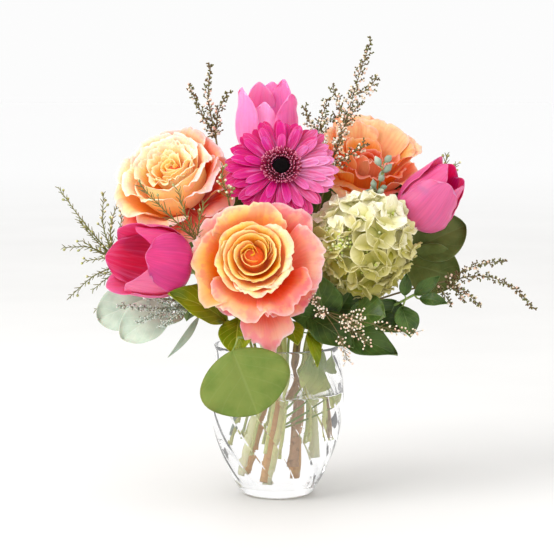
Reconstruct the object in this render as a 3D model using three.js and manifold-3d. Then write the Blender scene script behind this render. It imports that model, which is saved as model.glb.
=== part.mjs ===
// A mixed bouquet in a clear glass vase: one gerbera, three roses, three tulips and a hydrangea head,
// with eucalyptus, salal, pittosporum, waxflower and heather between them, standing in water.
// Millimetres, +Z up. The origin is the centre of the vase's foot, and the bouquet's front faces -Y.
import * as THREE from "three";
import { mergeVertices } from "three/addons/utils/BufferGeometryUtils.js";
import Module from "manifold-3d";

const wasm = await Module();
wasm.setup();

// ---------------------------------------------------------------- driving sizes

const VASE_WALL = 3;
const VASE_FLOOR = 8;
const FLOOR_RADIUS = 26; // of the hollow, where the wall meets the floor
const RIM_FLARE = 0.6; // widening of the mouth at its lip
const VASE_SIDES = 24;
// Outer radius and height of the vase, foot to rim.
const VASE_OUTLINE = [
  [27, 0], [30, 3], [36.5, 14], [44, 30], [51.5, 54], [54, 80], [52.6, 102], [49.5, 117], [51, 122],
];
const WATER_LEVEL = 84;
const GAP = 0.4; // running gap between neighbours that touch
const PETAL = 0.8; // thickness of petals in these solids
const LEAF = 0.8; // thickness of leaves in these solids
const TWIG_SIDES = 3;
const SLIVER = 0.06; // edges that stray less than this from a flat face are tidied away

// The stems gather at this height in the vase and spread again below and above it.
const BIND = { x: 5, y: 2, z: 92 };
const COLLAR_Z = 130;
const LEAN = -0.13; // sideways drift of the bundle for each millimetre below the bind
const SPREAD_BELOW = 0.0068; // growth of the bundle for each millimetre below the bind
const SPREAD_ABOVE = 0.011; // and above it

// ---------------------------------------------------------------- small helpers

const vec = (x, y, z) => new THREE.Vector3(x, y, z);
const mix = (a, b, t) => a + (b - a) * t;
const GOLDEN_ANGLE = Math.PI * (3 - Math.sqrt(5));

/** A seeded draw from 0 to 1, the same on every run. */
function seededRandom(seed) {
  let state = seed >>> 0;
  return () => {
    state = (Math.imul(state, 1664525) + 1013904223) >>> 0;
    return state / 4294967296;
  };
}

/** A solid from points and triangles, turned to face outwards. */
function solidFrom(points, triangles) {
  const vertProperties = new Float32Array(points.flatMap((p) => [p.x, p.y, p.z]));
  const make = (faces) =>
    new wasm.Manifold(new wasm.Mesh({ numProp: 3, vertProperties, triVerts: new Uint32Array(faces.flat()) }));
  const solid = make(triangles);
  return solid.volume() < 0 ? make(triangles.map(([a, b, c]) => [a, c, b])) : solid;
}

/** A solid from a closed three.js geometry, with its collapsed triangles left out. */
function solidOf(geometry) {
  geometry.deleteAttribute("normal");
  geometry.deleteAttribute("uv");
  const merged = mergeVertices(geometry, 1e-3);
  const position = merged.getAttribute("position");
  const points = [...Array(position.count).keys()].map((i) => vec().fromBufferAttribute(position, i));
  const faces = [];
  for (let i = 0; i < merged.index.count; i += 3) {
    const [a, b, c] = [merged.index.getX(i), merged.index.getX(i + 1), merged.index.getX(i + 2)];
    if (a !== b && b !== c && c !== a) faces.push([a, b, c]);
  }
  return solidFrom(points, faces);
}

/** Joins solids into one closed body. Sealed hollows are filled and loose scraps are dropped. */
function fuse(solids) {
  const pieces = wasm.Manifold.union(solids.flat(Infinity)).simplify(SLIVER).decompose();
  return pieces.reduce((best, piece) => (piece.volume() > best.volume() ? piece : best));
}

/**
 * A thin curved blade: surface(u, v) runs u from -1 to 1 across and v from 0 to 1 along it, and the
 * solid has that surface at the middle of its thickness. swell grows the blade on every side. A blade
 * with a claw has one narrow strip for that share of its length, as petals do.
 */
function blade(surface, columns, rows, thickness, { swell = 0, claw = 0 } = {}) {
  const even = [...Array(rows + 1).keys()].map((j) => j / rows);
  const stations = claw ? [0, ...even.map((v) => mix(claw, 1, v))] : even;
  const widths = stations.map((v) => (claw && v <= claw ? 1 : columns));
  const last = stations.length - 1;
  const front = [];
  const back = [];
  const id = stations.map((v, j) =>
    [...Array(widths[j] + 1).keys()].map((i) => {
      const n = widths[j];
      const u = (2 * i) / n - 1;
      const step = 1e-3;
      const across = surface(Math.min(u + step, 1), v).sub(surface(Math.max(u - step, -1), v)).normalize();
      const along = surface(u, Math.min(v + step, 1)).sub(surface(u, Math.max(v - step, 0))).normalize();
      const normal = across.clone().cross(along).normalize();
      const p = surface(u, v);
      p.addScaledVector(across, i === 0 ? -swell : i === n ? swell : 0);
      p.addScaledVector(along, j === 0 ? -swell : j === last ? swell : 0);
      front.push(p.clone().addScaledVector(normal, thickness / 2 + swell));
      back.push(p.clone().addScaledVector(normal, -thickness / 2 - swell));
      return front.length - 1;
    }),
  );
  const faces = [];
  const pair = (a, b, c) => faces.push([a, b, c], [a + front.length, c + front.length, b + front.length]);
  for (let j = 0; j < last; j++)
    for (let i = 0; i < widths[j + 1]; i++) {
      const [c, d] = [id[j + 1][i + 1], id[j + 1][i]];
      if (widths[j] < widths[j + 1]) {
        const half = columns / 2;
        pair(id[j][i < half ? 0 : 1], c, d);
        if (i + 1 === Math.ceil(half)) pair(id[j][0], id[j][1], c);
      } else {
        pair(id[j][i], id[j][i + 1], c);
        pair(id[j][i], c, d);
      }
    }
  const between = id.slice(1, last);
  const rim = [
    ...id[0], ...between.map((row) => row[row.length - 1]), ...[...id[last]].reverse(),
    ...between.map((row) => row[0]).reverse(),
  ];
  rim.forEach((p, k) => {
    const q = rim[(k + 1) % rim.length];
    faces.push([q, p, p + front.length], [q, p + front.length, q + front.length]);
  });
  return solidFrom([...front, ...back], faces);
}

/** A closed tube with a ring at each centre. radiusAt gives the radius from 0 to 1 along it. */
function tubeThrough(centres, radiusAt, sides, swell = 0) {
  const last = centres.length - 1;
  const rings = [];
  let side = null;
  centres.forEach((point, j) => {
    const along = centres[Math.min(j + 1, last)].clone().sub(centres[Math.max(j - 1, 0)]).normalize();
    const start = side ?? (Math.abs(along.z) < 0.9 ? vec(0, 0, 1) : vec(1, 0, 0));
    side = start.clone().addScaledVector(along, -start.dot(along)).normalize();
    const other = along.clone().cross(side);
    const centre = point.clone().addScaledVector(along, j === 0 ? -swell : j === last ? swell : 0);
    const radius = radiusAt(j / last) + swell / Math.cos(Math.PI / sides);
    for (let k = 0; k < sides; k++) {
      const angle = (2 * Math.PI * k) / sides;
      const outward = side.clone().multiplyScalar(Math.cos(angle)).addScaledVector(other, Math.sin(angle));
      rings.push(centre.clone().addScaledVector(outward, radius));
    }
  });
  const faces = [];
  for (let j = 0; j < last; j++)
    for (let k = 0; k < sides; k++) {
      const next = (k + 1) % sides;
      const [a, b, c, d] = [j * sides + k, j * sides + next, (j + 1) * sides + next, (j + 1) * sides + k];
      faces.push([a, b, c], [a, c, d]);
    }
  for (let k = 1; k < sides - 1; k++) {
    faces.push([0, k + 1, k]);
    faces.push([last * sides, last * sides + k, last * sides + k + 1]);
  }
  return solidFrom(rings, faces);
}

/** A closed tapered tube along a smooth curve through points. */
function tube(points, radiusAt, steps, sides, swell = 0) {
  const curve = new THREE.CatmullRomCurve3(points, false, "centripetal");
  return tubeThrough(curve.getSpacedPoints(steps), radiusAt, sides, swell);
}

/** Three points on a circle about a point, square to a direction. */
function triangleRound(centre, along, radius) {
  const upright = Math.abs(along.z) < 0.9 ? vec(0, 0, 1) : vec(1, 0, 0);
  const side = upright.cross(along).normalize();
  const other = along.clone().cross(side);
  return [0, 1, 2].map((k) => {
    const angle = (2 * Math.PI * k) / 3;
    const outward = side.clone().multiplyScalar(Math.cos(angle)).addScaledVector(other, Math.sin(angle));
    return centre.clone().addScaledVector(outward, radius);
  });
}

/** A three-sided spike from one point to another, such as a needle leaf. */
function spike(from, to, radius, swell = 0) {
  const along = to.clone().sub(from).normalize();
  const ring = triangleRound(from.clone().addScaledVector(along, -swell), along, radius + 2 * swell);
  const tip = to.clone().addScaledVector(along, 4 * swell);
  return solidFrom([...ring, tip], [[0, 2, 1], [0, 1, 3], [1, 2, 3], [2, 0, 3]]);
}

/** A plump bud on a short stalk, six triangles: widest a little past its middle. */
function bud(from, to, radius, swell = 0) {
  const along = to.clone().sub(from).normalize();
  const ring = triangleRound(from.clone().lerp(to, 0.6), along, radius + 2 * swell);
  const ends = [from.clone().addScaledVector(along, -2 * swell), to.clone().addScaledVector(along, 2 * swell)];
  return solidFrom([...ring, ...ends], [[0, 2, 3], [2, 1, 3], [1, 0, 3], [0, 1, 4], [1, 2, 4], [2, 0, 4]]);
}

/** The matrix that carries a flower's own frame, +Z out of its face, to where it stands. */
function placeAt(base, axis, spin = 0) {
  const turn = new THREE.Quaternion().setFromUnitVectors(vec(0, 0, 1), axis.clone().normalize());
  const own = new THREE.Quaternion().setFromAxisAngle(vec(0, 0, 1), spin);
  return new THREE.Matrix4().compose(base, turn.multiply(own), vec(1, 1, 1));
}

// ---------------------------------------------------------------- the scene graph

const bouquet = new THREE.Group();
const standing = []; // what stands already: { name, solid, swollen }

const finish = (color, roughness = 0.6, extra = {}) =>
  new THREE.MeshStandardMaterial({ color, roughness, metalness: 0, ...extra });

/** Adds one named piece. */
function add(name, solid, material, swollen = null) {
  const mesh = solid.getMesh();
  const geometry = new THREE.BufferGeometry();
  geometry.setAttribute("position", new THREE.BufferAttribute(new Float32Array(mesh.vertProperties), 3));
  geometry.setIndex(new THREE.BufferAttribute(new Uint32Array(mesh.triVerts), 1));
  geometry.computeVertexNormals();
  const piece = new THREE.Mesh(geometry, material);
  piece.name = name;
  bouquet.add(piece);
  standing.push({ name, solid, swollen: swollen ?? solid });
}

/** Adds a piece made by build(swell), trimmed clear of everything that stands already. */
function addTrimmed(name, build, material) {
  let solid = build(0);
  for (const other of standing)
    if (solid.intersect(other.swollen).volume() > 1e-4) solid = fuse([solid.subtract(other.swollen)]);
  add(name, solid, material, build(GAP));
}

// ---------------------------------------------------------------- finishes

const GLASS = finish("#eef4f2", 0.04, { transparent: true, opacity: 0.35 });
const WATER = finish("#e8f2ee", 0.03, { transparent: true, opacity: 0.25 });
const ROSE_ORANGE = finish("#f5a05c", 0.55);
const ROSE_CORAL = finish("#f08a4e", 0.55);
const TULIP_PINK = finish("#d83a86", 0.45);
const TULIP_PALE = finish("#ee74b4", 0.45);
const GERBERA_PINK = finish("#d22f86", 0.5);
const GERBERA_RING = finish("#a8435f", 0.7);
const GERBERA_EYE = finish("#2a0f14", 0.8);
const HYDRANGEA_CREAM = finish("#d6dba4", 0.6);
const STEM_GREEN = finish("#7d9c4a", 0.5);
const TULIP_STEM = finish("#a9bf6a", 0.5);
const EUCALYPTUS = finish("#6f8d5a", 0.6);
const EUCALYPTUS_PALE = finish("#b9cdbd", 0.65);
const SALAL = finish("#8ba51f", 0.4);
const DEEP_LEAF = finish("#2f5220", 0.4);
const WAX_GREEN = finish("#8f9a4a", 0.6);
const HEATHER_TWIG = finish("#7a6a45", 0.8);
const HEATHER_BUD = finish("#e3c3b4", 0.7);

// ---------------------------------------------------------------- vase and water

/** A surface of revolution about Z from radius and height pairs that start and end on the axis. */
function turned(profile, sides) {
  const geometry = new THREE.LatheGeometry(profile.map(([r, z]) => new THREE.Vector2(r, z)), sides);
  return solidOf(geometry.rotateX(Math.PI / 2));
}

/** The wall's inner radius and height pairs, floor to rim, moved in by inset. */
function innerOutline(inset) {
  const inner = VASE_OUTLINE.filter(([, z]) => z > VASE_FLOOR).map(([r, z]) => [r - VASE_WALL - inset, z]);
  return [[FLOOR_RADIUS - inset, VASE_FLOOR + inset], ...inner];
}

function buildVase() {
  const inner = innerOutline(0);
  const rim = inner[inner.length - 1];
  rim[0] += RIM_FLARE;
  return turned([[0, 0], ...VASE_OUTLINE, ...inner.reverse(), [0, VASE_FLOOR]], VASE_SIDES);
}

/** The water fills the vase to its level, with a plain hole for each stem and sunken leaf. */
function buildWater(holes) {
  const outline = innerOutline(GAP).filter(([, z]) => z < WATER_LEVEL);
  const top = outline[outline.length - 1][0];
  const body = turned([[0, VASE_FLOOR + GAP], ...outline, [top, WATER_LEVEL], [0, WATER_LEVEL]], VASE_SIDES);
  return fuse([holes.reduce((left, hole) => left.subtract(hole), body)]);
}

// ---------------------------------------------------------------- stems

/** Where a stem of a bundle slot passes a height, from its cut end up to the collar. */
function inBundle([sx, sy], z) {
  const below = BIND.z - z;
  const scale = below > 0 ? 1 + SPREAD_BELOW * below : 1 - SPREAD_ABOVE * below;
  return vec(BIND.x + LEAN * Math.max(below, 0) + sx * scale, BIND.y + sy * scale, z);
}

/** The free part of a stem: from the bind, past the collar, then its own way to its head. */
const stemCurve = ({ slot, way }) =>
  new THREE.CatmullRomCurve3(
    [inBundle(slot, BIND.z), inBundle(slot, COLLAR_Z), ...way.map((p) => vec(...p))], false, "centripetal",
  );

/** A bare stem: straight from its cut end to the bind, along its free part, then straight to its seat. */
function stem({ slot, foot, way, seat, radius, tip = radius * 0.8, steps = 5, sides = 6 }, swell = 0) {
  const free = stemCurve({ slot, way }).getSpacedPoints(steps);
  const centres = [inBundle(slot, foot), ...free, ...(seat ? [seat] : [])];
  return tubeThrough(centres, (t) => mix(radius, tip, t), sides, swell);
}

// ---------------------------------------------------------------- roses

/** Layers of a rose, inmost first: lip radius, height, belly radius, half span in degrees, petals, grid. */
const ROSE_LAYERS = [
  { lip: 4.5, height: 42, belly: 8, span: 125, petals: 1, curl: 0, columns: 6, rows: 2 },
  { lip: 9, height: 43, belly: 13, span: 88, petals: 2, curl: 0.5, columns: 5, rows: 2 },
  { lip: 18, height: 41, belly: 19, span: 74, petals: 3, curl: 2, columns: 3, rows: 2 },
  { lip: 30, height: 35, belly: 24, span: 60, petals: 4, curl: 4, columns: 4, rows: 3 },
  { lip: 44, height: 24, belly: 28, span: 52, petals: 4, curl: 5, columns: 4, rows: 3 },
];

/** One rose petal's surface: a profile from the hip out and up to the lip, swung round the axis. */
function rosePetal(layer, depth, facing, { open, cup }, phase) {
  const height = mix(layer.height, ROSE_LAYERS[0].height, cup);
  const lip = layer.lip * open;
  const belly = mix(layer.belly, layer.belly * open, 0.6);
  const rib = new THREE.CatmullRomCurve3([
    vec(1.6 + 0.9 * depth, 0, 8 - 1.6 * depth),
    vec(belly * 0.72, 0, height * 0.22 + 4 - depth),
    vec(mix(belly, lip, 0.35), 0, height * 0.6),
    vec(lip - layer.curl * 0.3, 0, height),
    vec(lip + layer.curl, 0, height - layer.curl * 0.5),
  ]);
  const span = THREE.MathUtils.degToRad(layer.span);
  return (u, v) => {
    const p = rib.getPoint(v * (1 - 0.13 * u * u));
    const angle = facing + u * span * (0.2 + 1.8 * v - v * v);
    const ruffle = 0.8 * Math.sin(2.6 * Math.PI * u + phase) * v ** 3;
    const radius = p.x + u * mix(0.3, 2.6, Math.min(1, 2 * v)) + ruffle;
    return vec(radius * Math.cos(angle), radius * Math.sin(angle), p.z + ruffle);
  };
}

/** A rose's petals in their layers on a short core, in the flower's own frame. */
function roseBloom({ open, cup, size, turn }, swell = 0) {
  const core = tube([vec(0, 0, 0), vec(0, 0, 6), vec(0, 0, 13)], (t) => mix(7.6, 2, t), 1, 6, swell);
  const petals = ROSE_LAYERS.flatMap((layer, depth) =>
    [...Array(layer.petals).keys()].map((k) => {
      const facing = turn + depth * 1.1 + (2 * Math.PI * k) / layer.petals;
      const surface = rosePetal(layer, depth, facing, { open, cup }, depth * 1.7 + k * 2.3);
      return blade(surface, layer.columns, layer.rows, PETAL, { swell, claw: 0.16 });
    }),
  );
  return fuse([core, ...petals]).scale(size);
}

/** The green hip and five sepals under a rose, in the flower's own frame. */
function roseCalyx(swell = 0) {
  const hip = tube([vec(0, 0, -14), vec(0, 0, -7), vec(0, 0, -GAP)], (t) => mix(2.6, 5.4, t), 2, 6, swell);
  const sepals = [0, 1, 2, 3, 4].map((k) => {
    const way = vec(1, 0, 0).applyAxisAngle(vec(0, 0, 1), (2 * Math.PI * k) / 5);
    return spike(way.clone().multiplyScalar(2).setZ(-4.6), way.clone().multiplyScalar(20).setZ(-9), 2.4, swell);
  });
  return [hip, ...sepals];
}

const ROSES = [
  {
    name: "rose_front", base: vec(-15, -47, 186), axis: vec(-0.03, -0.94, 0.32), finish: ROSE_ORANGE,
    open: 1, cup: 0, size: 1, turn: 0.5,
    stem: { slot: [-3, -13], foot: 16, radius: 3.2, way: [[-12, -24, 165]] },
  },
  {
    name: "rose_left", base: vec(-74, 3, 232), axis: vec(-0.32, -0.58, 0.75), finish: ROSE_ORANGE,
    open: 0.97, cup: 0.4, size: 1, turn: 1.9,
    stem: { slot: [-9, 3], foot: 22, radius: 2.9, way: [[-34, 8, 180], [-60, 12, 212]] },
  },
  {
    name: "rose_right", base: vec(69, 43, 243), axis: vec(0.2, -0.4, 0.88), finish: ROSE_CORAL,
    open: 0.93, cup: 0.5, size: 0.97, turn: 0.2,
    stem: { slot: [9, 9], foot: 18, radius: 2.9, way: [[34, 30, 180], [60, 48, 216]] },
  },
];

for (const rose of ROSES) {
  const matrix = placeAt(rose.base, rose.axis);
  const place = (solid) => solid.transform(matrix.elements);
  const hipEnd = rose.base.clone().addScaledVector(rose.axis.clone().normalize(), -12);
  const route = { ...rose.stem, tip: 2.3, way: [...rose.stem.way, hipEnd.toArray()] };
  add(`${rose.name}_bloom`, place(roseBloom(rose)), rose.finish, place(roseBloom(rose, GAP)));
  const green = (swell) => fuse([stem(route, swell), ...roseCalyx(swell).map(place)]);
  add(`${rose.name}_stem`, green(0), STEM_GREEN, green(GAP));
}

// ---------------------------------------------------------------- tulips

/** One tulip petal's surface: a deep cupped oval with a blunt point. */
function tulipPetal({ length, belly, mouth, width }, facing, outer) {
  const rib = new THREE.CatmullRomCurve3([
    vec(3.5, 0, 1), vec(belly * 0.82, 0, length * 0.18), vec(belly, 0, length * 0.48),
    vec(mouth, 0, length * 0.97),
  ]);
  return (u, v) => {
    const p = rib.getPoint(v * (1 - 0.1 * u * u));
    const half = width * Math.min(1, 0.07 + 2.2 * v) * (1 - 0.6 * v ** 6);
    const radius = p.x + outer;
    const angle = facing + u * Math.min(half / radius, 0.98);
    return vec(radius * Math.cos(angle), radius * Math.sin(angle), p.z);
  };
}

/** Six tulip petals in two whorls, in the flower's own frame. */
function tulipBloom(shape, swell = 0) {
  const core = tube([vec(0, 0, 0), vec(0, 0, 3), vec(0, 0, 6)], (t) => mix(6.4, 2, t), 1, 6, swell);
  const petals = [0, 1, 2, 3, 4, 5].map((k) => {
    const outer = k % 2 ? 2.2 : 0;
    const surface = tulipPetal(shape, shape.turn + (Math.PI * k) / 3, outer);
    return blade(surface, 4, 3, PETAL, { swell, claw: 0.07 });
  });
  return fuse([core, ...petals]);
}

const TULIPS = [
  {
    name: "tulip_top", base: vec(-9, 32, 270), axis: vec(0.02, -0.2, 0.98), finish: TULIP_PALE,
    shape: { length: 62, belly: 22, mouth: 23, width: 19, turn: 0.5 },
    stem: { slot: [0, 8], foot: 14, radius: 3.1, way: [[-2, 20, 185], [-8, 34, 240]] },
  },
  {
    name: "tulip_left", base: vec(-72, -44, 188), axis: vec(-0.78, -0.58, 0.22), finish: TULIP_PINK,
    shape: { length: 60, belly: 25, mouth: 27, width: 21, turn: 0.2 },
    stem: { slot: [-13, -6], foot: 20, radius: 3.1, way: [[-34, -22, 158], [-54, -33, 176]] },
  },
  {
    name: "tulip_right", base: vec(105, -4, 219), axis: vec(0.6, -0.27, 0.75), finish: TULIP_PINK,
    shape: { length: 60, belly: 21, mouth: 18, width: 20, turn: 1.1 },
    stem: { slot: [17, 3], foot: 34, radius: 3, way: [[52, 16, 158], [84, 16, 196]] },
  },
];

for (const tulip of TULIPS) {
  const matrix = placeAt(tulip.base, tulip.axis);
  const bloom = (swell) => tulipBloom(tulip.shape, swell).transform(matrix.elements);
  const below = (drop) => tulip.base.clone().addScaledVector(tulip.axis.clone().normalize(), -drop);
  const route = { ...tulip.stem, tip: 3, way: [...tulip.stem.way, below(9).toArray()], seat: below(1.5 * GAP) };
  add(`${tulip.name}_bloom`, bloom(0), tulip.finish, bloom(GAP));
  add(`${tulip.name}_stem`, stem(route), TULIP_STEM, stem(route, GAP));
}

// ---------------------------------------------------------------- gerbera

const GERBERA = { base: vec(3, -26, 263), axis: vec(0.03, -0.87, 0.49), disc: 12, top: 6.4, eye: 7.2 };
// Rings of ray petals, lowest first: count, reach of the tips, width, height of the root, rise.
const GERBERA_RAYS = [
  { count: 18, reach: 46, width: 9, height: 1.4, rise: 1 },
  { count: 17, reach: 44, width: 8.6, height: 3.3, rise: 3.5 },
  { count: 13, reach: 33, width: 6.4, height: 5.2, rise: 4.5 },
];

/** The pink ray petals on their disc, in the flower's own frame. */
function gerberaRays(swell = 0) {
  const { disc, top } = GERBERA;
  const plate = turned([[0, 0], [disc + swell, 0], [disc + swell, top], [0, top]], 10);
  const draw = seededRandom(7);
  const rays = GERBERA_RAYS.flatMap(({ count, reach, width, height, rise }, layer) =>
    [...Array(count).keys()].map((k) => {
      const facing = (2 * Math.PI * (k + 0.5 * layer)) / count + 0.06 * (draw() - 0.5);
      const tip = reach * (0.95 + 0.08 * draw());
      const sway = 1.6 * (draw() - 0.5);
      const root = disc - 2;
      const surface = (u, v) => {
        const swelling = 0.3 + 0.7 * Math.sin(Math.PI * (0.02 + 0.74 * v));
        const half = (width / 2) * swelling * (v > 0.99 ? 0.5 : 1);
        const p = vec(mix(root, tip, v), u * half + sway * v, height + rise * v - 2.2 * v * v);
        return p.applyAxisAngle(vec(0, 0, 1), facing);
      };
      return blade(surface, 1, 2, PETAL, { swell });
    }),
  );
  return fuse([plate, ...rays]);
}

const FLORETS = 11; // in each of the two circles round the eye

/** The ring of small florets round the eye: a low collar with a row of short spikes in two circles. */
function gerberaRing() {
  const low = GERBERA.top + GAP;
  const hole = GERBERA.eye + GAP;
  const profile = [[hole, low], [GERBERA.disc, low], [GERBERA.disc - 1, low + 2.6], [hole, low + 2.2], [hole, low]];
  const collar = turned(profile, FLORETS);
  const florets = [0, 1].flatMap((row) =>
    [...Array(FLORETS).keys()].map((k) => {
      const angle = (2 * Math.PI * (k + row / 2)) / FLORETS;
      const out = vec(Math.cos(angle), Math.sin(angle), 0);
      const root = out.clone().multiplyScalar(8.6 + 1.8 * row).setZ(low + 1.2);
      const tip = out.clone().multiplyScalar(9.4 + 4 * row).setZ(low + 5.2 - row);
      return spike(root, tip, 1.1);
    }),
  );
  return fuse([collar, ...florets]);
}

/** The dark eye: a low dome with knobs raised on it by a formula in its rings and angle. */
function gerberaEye() {
  const low = GERBERA.top + GAP;
  const edge = GERBERA.eye - 0.2;
  const rows = 3;
  const sides = 14;
  const points = [vec(0, 0, low), ...[...Array(sides).keys()].map((k) => {
    const angle = (2 * Math.PI * k) / sides;
    return vec(edge * Math.cos(angle), edge * Math.sin(angle), low);
  })];
  for (let j = 1; j <= rows; j++)
    for (let k = 0; k < sides; k++) {
      const angle = (2 * Math.PI * k) / sides;
      const lift = (Math.PI / 2) * ((j - 0.7) / rows);
      const knob = 0.4 * (k % 2 ? 1 : -1) * (j % 2 ? 1 : -1);
      const radius = edge * Math.cos(lift);
      points.push(vec(radius * Math.cos(angle), radius * Math.sin(angle), low + 0.9 + 3 * Math.sin(lift) + knob));
    }
  points.push(vec(0, 0, low + 4.1));
  const faces = [];
  for (let k = 0; k < sides; k++) {
    const next = (k + 1) % sides;
    faces.push([0, 1 + next, 1 + k], [1 + rows * sides + k, 1 + rows * sides + next, points.length - 1]);
    for (let j = 0; j < rows; j++) {
      const [a, b] = [1 + j * sides + k, 1 + j * sides + next];
      faces.push([a, b, b + sides], [a, b + sides, a + sides]);
    }
  }
  return solidFrom(points, faces);
}

{
  const matrix = placeAt(GERBERA.base, GERBERA.axis);
  const place = (solid) => solid.transform(matrix.elements);
  add("gerbera_rays", place(gerberaRays()), GERBERA_PINK, place(gerberaRays(GAP)));
  add("gerbera_floret_ring", place(gerberaRing()), GERBERA_RING);
  add("gerbera_eye", place(gerberaEye()), GERBERA_EYE);
  const seat = GERBERA.base.clone().addScaledVector(GERBERA.axis.clone().normalize(), -6);
  const way = [[1, -4, 190], [2, -13, 245], seat.toArray()];
  const route = { slot: [0, -4], foot: 26, radius: 2.6, tip: 2.3, way };
  const cupLine = [vec(0, 0, -8), vec(0, 0, -3), vec(0, 0, -GAP)];
  const cup = (swell) => tube(cupLine, (t) => mix(2.4, 9.5, t), 2, 9, swell);
  const green = (swell) => fuse([stem(route, swell), place(cup(swell))]);
  add("gerbera_stem", green(0), STEM_GREEN, green(GAP));
}

// ---------------------------------------------------------------- hydrangea

const HYDRANGEA = {
  centre: vec(67, -31, 204), axis: vec(0.35, -0.7, 0.6), core: 33, head: 39, florets: 30, floret: 11.8,
};

/** One four-petalled floret: two points on each lobe and a notch between lobes, on a four-sided foot. */
function floret(out, spin, size, lift, swell = 0) {
  const matrix = placeAt(vec(0, 0, 0), out);
  const at = (reach, angle, z) => vec(reach * Math.cos(angle), reach * Math.sin(angle), z).applyMatrix4(matrix);
  const top = HYDRANGEA.head + lift + swell;
  const rim = [...Array(12).keys()].map((k) => {
    const place = k % 3;
    const angle = spin + (Math.PI / 2) * Math.floor(k / 3) + [-0.33, 0.33, 0.785][place];
    return at((place === 2 ? 0.5 : 1) * size + swell, angle, top - (place === 2 ? 2 : 0));
  });
  const foot = [0, 1, 2, 3].map((k) => at(0.3 * size + swell, spin + (Math.PI / 2) * k, top - 4.5));
  const n = rim.length;
  const [eye, root] = [n + 4, n + 5];
  const faces = rim.flatMap((_, k) => {
    const lobe = n + Math.floor(k / 3);
    return [[eye, k, (k + 1) % n], [lobe, (k + 1) % n, k]];
  });
  for (let k = 0; k < 4; k++) {
    const [here, next] = [n + k, n + ((k + 1) % 4)];
    faces.push([here, next, (3 * k + 3) % n], [root, next, here]);
  }
  return solidFrom([...rim, ...foot, at(0, 0, top - 2.6), at(0, 0, HYDRANGEA.core - 6)], faces);
}

/** The flower head: florets spread evenly by the golden angle over a smaller core. */
function hydrangeaHead(swell = 0) {
  const core = solidOf(new THREE.IcosahedronGeometry(HYDRANGEA.core + swell, 1));
  const florets = [...Array(HYDRANGEA.florets).keys()].map((k) => {
    const height = 1 - (1.76 * (k + 0.5)) / HYDRANGEA.florets;
    const ring = Math.sqrt(1 - height * height);
    const angle = k * GOLDEN_ANGLE;
    const out = vec(ring * Math.cos(angle), ring * Math.sin(angle), height);
    return floret(out, k * 1.3, HYDRANGEA.floret, 1.6 * ((k % 3) - 1), swell);
  });
  return fuse([core, ...florets]);
}

{
  const matrix = placeAt(HYDRANGEA.centre, HYDRANGEA.axis);
  const head = (swell) => hydrangeaHead(swell).transform(matrix.elements);
  add("hydrangea_head", head(0), HYDRANGEA_CREAM, head(GAP));
  const seat = HYDRANGEA.centre.clone().addScaledVector(HYDRANGEA.axis.clone().normalize(), -HYDRANGEA.core);
  const route = { slot: [9, -5], foot: 28, radius: 3.1, tip: 3, way: [[32, -9, 160], seat.toArray()] };
  const green = (swell) => stem(route, swell);
  const trimmed = fuse([green(0).subtract(head(GAP))]);
  add("hydrangea_stem", trimmed, STEM_GREEN, green(GAP));
}

// ---------------------------------------------------------------- leafy stems and sprays

const LEAF_OUTLINES = {
  round: (v) => Math.sin(Math.PI * (0.05 + 0.9 * v)) ** 0.55,
  oval: (v) => Math.sin(Math.PI * (0.04 + 0.91 * v ** 0.9)) ** 0.8,
  long: (v) => Math.sin(Math.PI * (0.06 + 0.88 * v ** 0.8)) ** 0.9,
};

/** A leaf's surface from its base to its tip: width, the way its face looks, cup, bend and wave. */
function leafSurface({ base, tip, width, face, outline = "oval", cup = 0.12, bend = 0.1, wave = 0 }) {
  const along = vec(...tip).sub(vec(...base));
  const side = along.clone().cross(vec(...face)).normalize();
  const up = side.clone().cross(along).normalize();
  const shape = LEAF_OUTLINES[outline];
  return (u, v) => {
    const arch = bend * along.length() * Math.sin(Math.PI * v);
    const lift = arch + cup * width * u * u + wave * u * Math.sin(3 * Math.PI * v);
    const half = (width / 2) * shape(v);
    return vec(...base).addScaledVector(along, v).addScaledVector(side, u * half).addScaledVector(up, lift);
  };
}

/** A stem with leaves, each on a short stalk that starts part way along the stem or at a height in the vase. */
function leafyStem({ route, leaves }, swell = 0) {
  const line = stemCurve(route);
  const parts = leaves.map((leaf) => {
    const surface = leafSurface(leaf);
    const root = leaf.height ? inBundle(route.slot, leaf.height) : line.getPointAt(leaf.from);
    const stalk = tubeThrough([root, surface(0, 0.08)], (t) => mix(1.1, 0.28, t), TWIG_SIDES, swell);
    return [stalk, blade(surface, 2, leaf.outline === "long" ? 2 : 3, LEAF, { swell })];
  });
  return fuse([stem({ sides: 4, ...route }, swell), ...parts]);
}

/** A fine spray: a stem, side twigs, and needles or buds set round each twig by the golden angle. */
function spray({ route, twigs, spacing, needle, seed = 1 }, swell = 0) {
  const line = stemCurve(route);
  const draw = seededRandom(seed);
  const solids = [stem({ sides: 3, ...route }, swell)];
  for (const { points, radius = 1.05 } of twigs) {
    const [first, ...rest] = points;
    const root = typeof first === "number" ? line.getPointAt(first) : vec(...first);
    const curve = new THREE.CatmullRomCurve3([root, ...rest.map((p) => vec(...p))], false, "centripetal");
    solids.push(tube(curve.points, (t) => mix(radius, 0.8, t), 2, TWIG_SIDES, swell));
    const count = Math.max(2, Math.round(curve.getLength() / spacing));
    for (let k = 0; k < count; k++) {
      const t = (k + 0.8) / (count + 0.3);
      const from = curve.getPointAt(t);
      const along = curve.getTangentAt(t);
      const side = along.clone().cross(vec(0.3, 1, 0.2)).normalize();
      side.applyAxisAngle(along, k * GOLDEN_ANGLE + draw());
      const way = along.clone().multiplyScalar(needle.lean).add(side).normalize();
      const length = needle.length * (0.8 + 0.4 * draw());
      const to = from.clone().addScaledVector(way, length);
      solids.push(needle.bud ? bud(from, to, needle.radius, swell) : spike(from, to, needle.radius, swell));
    }
  }
  return fuse(solids);
}

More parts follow.
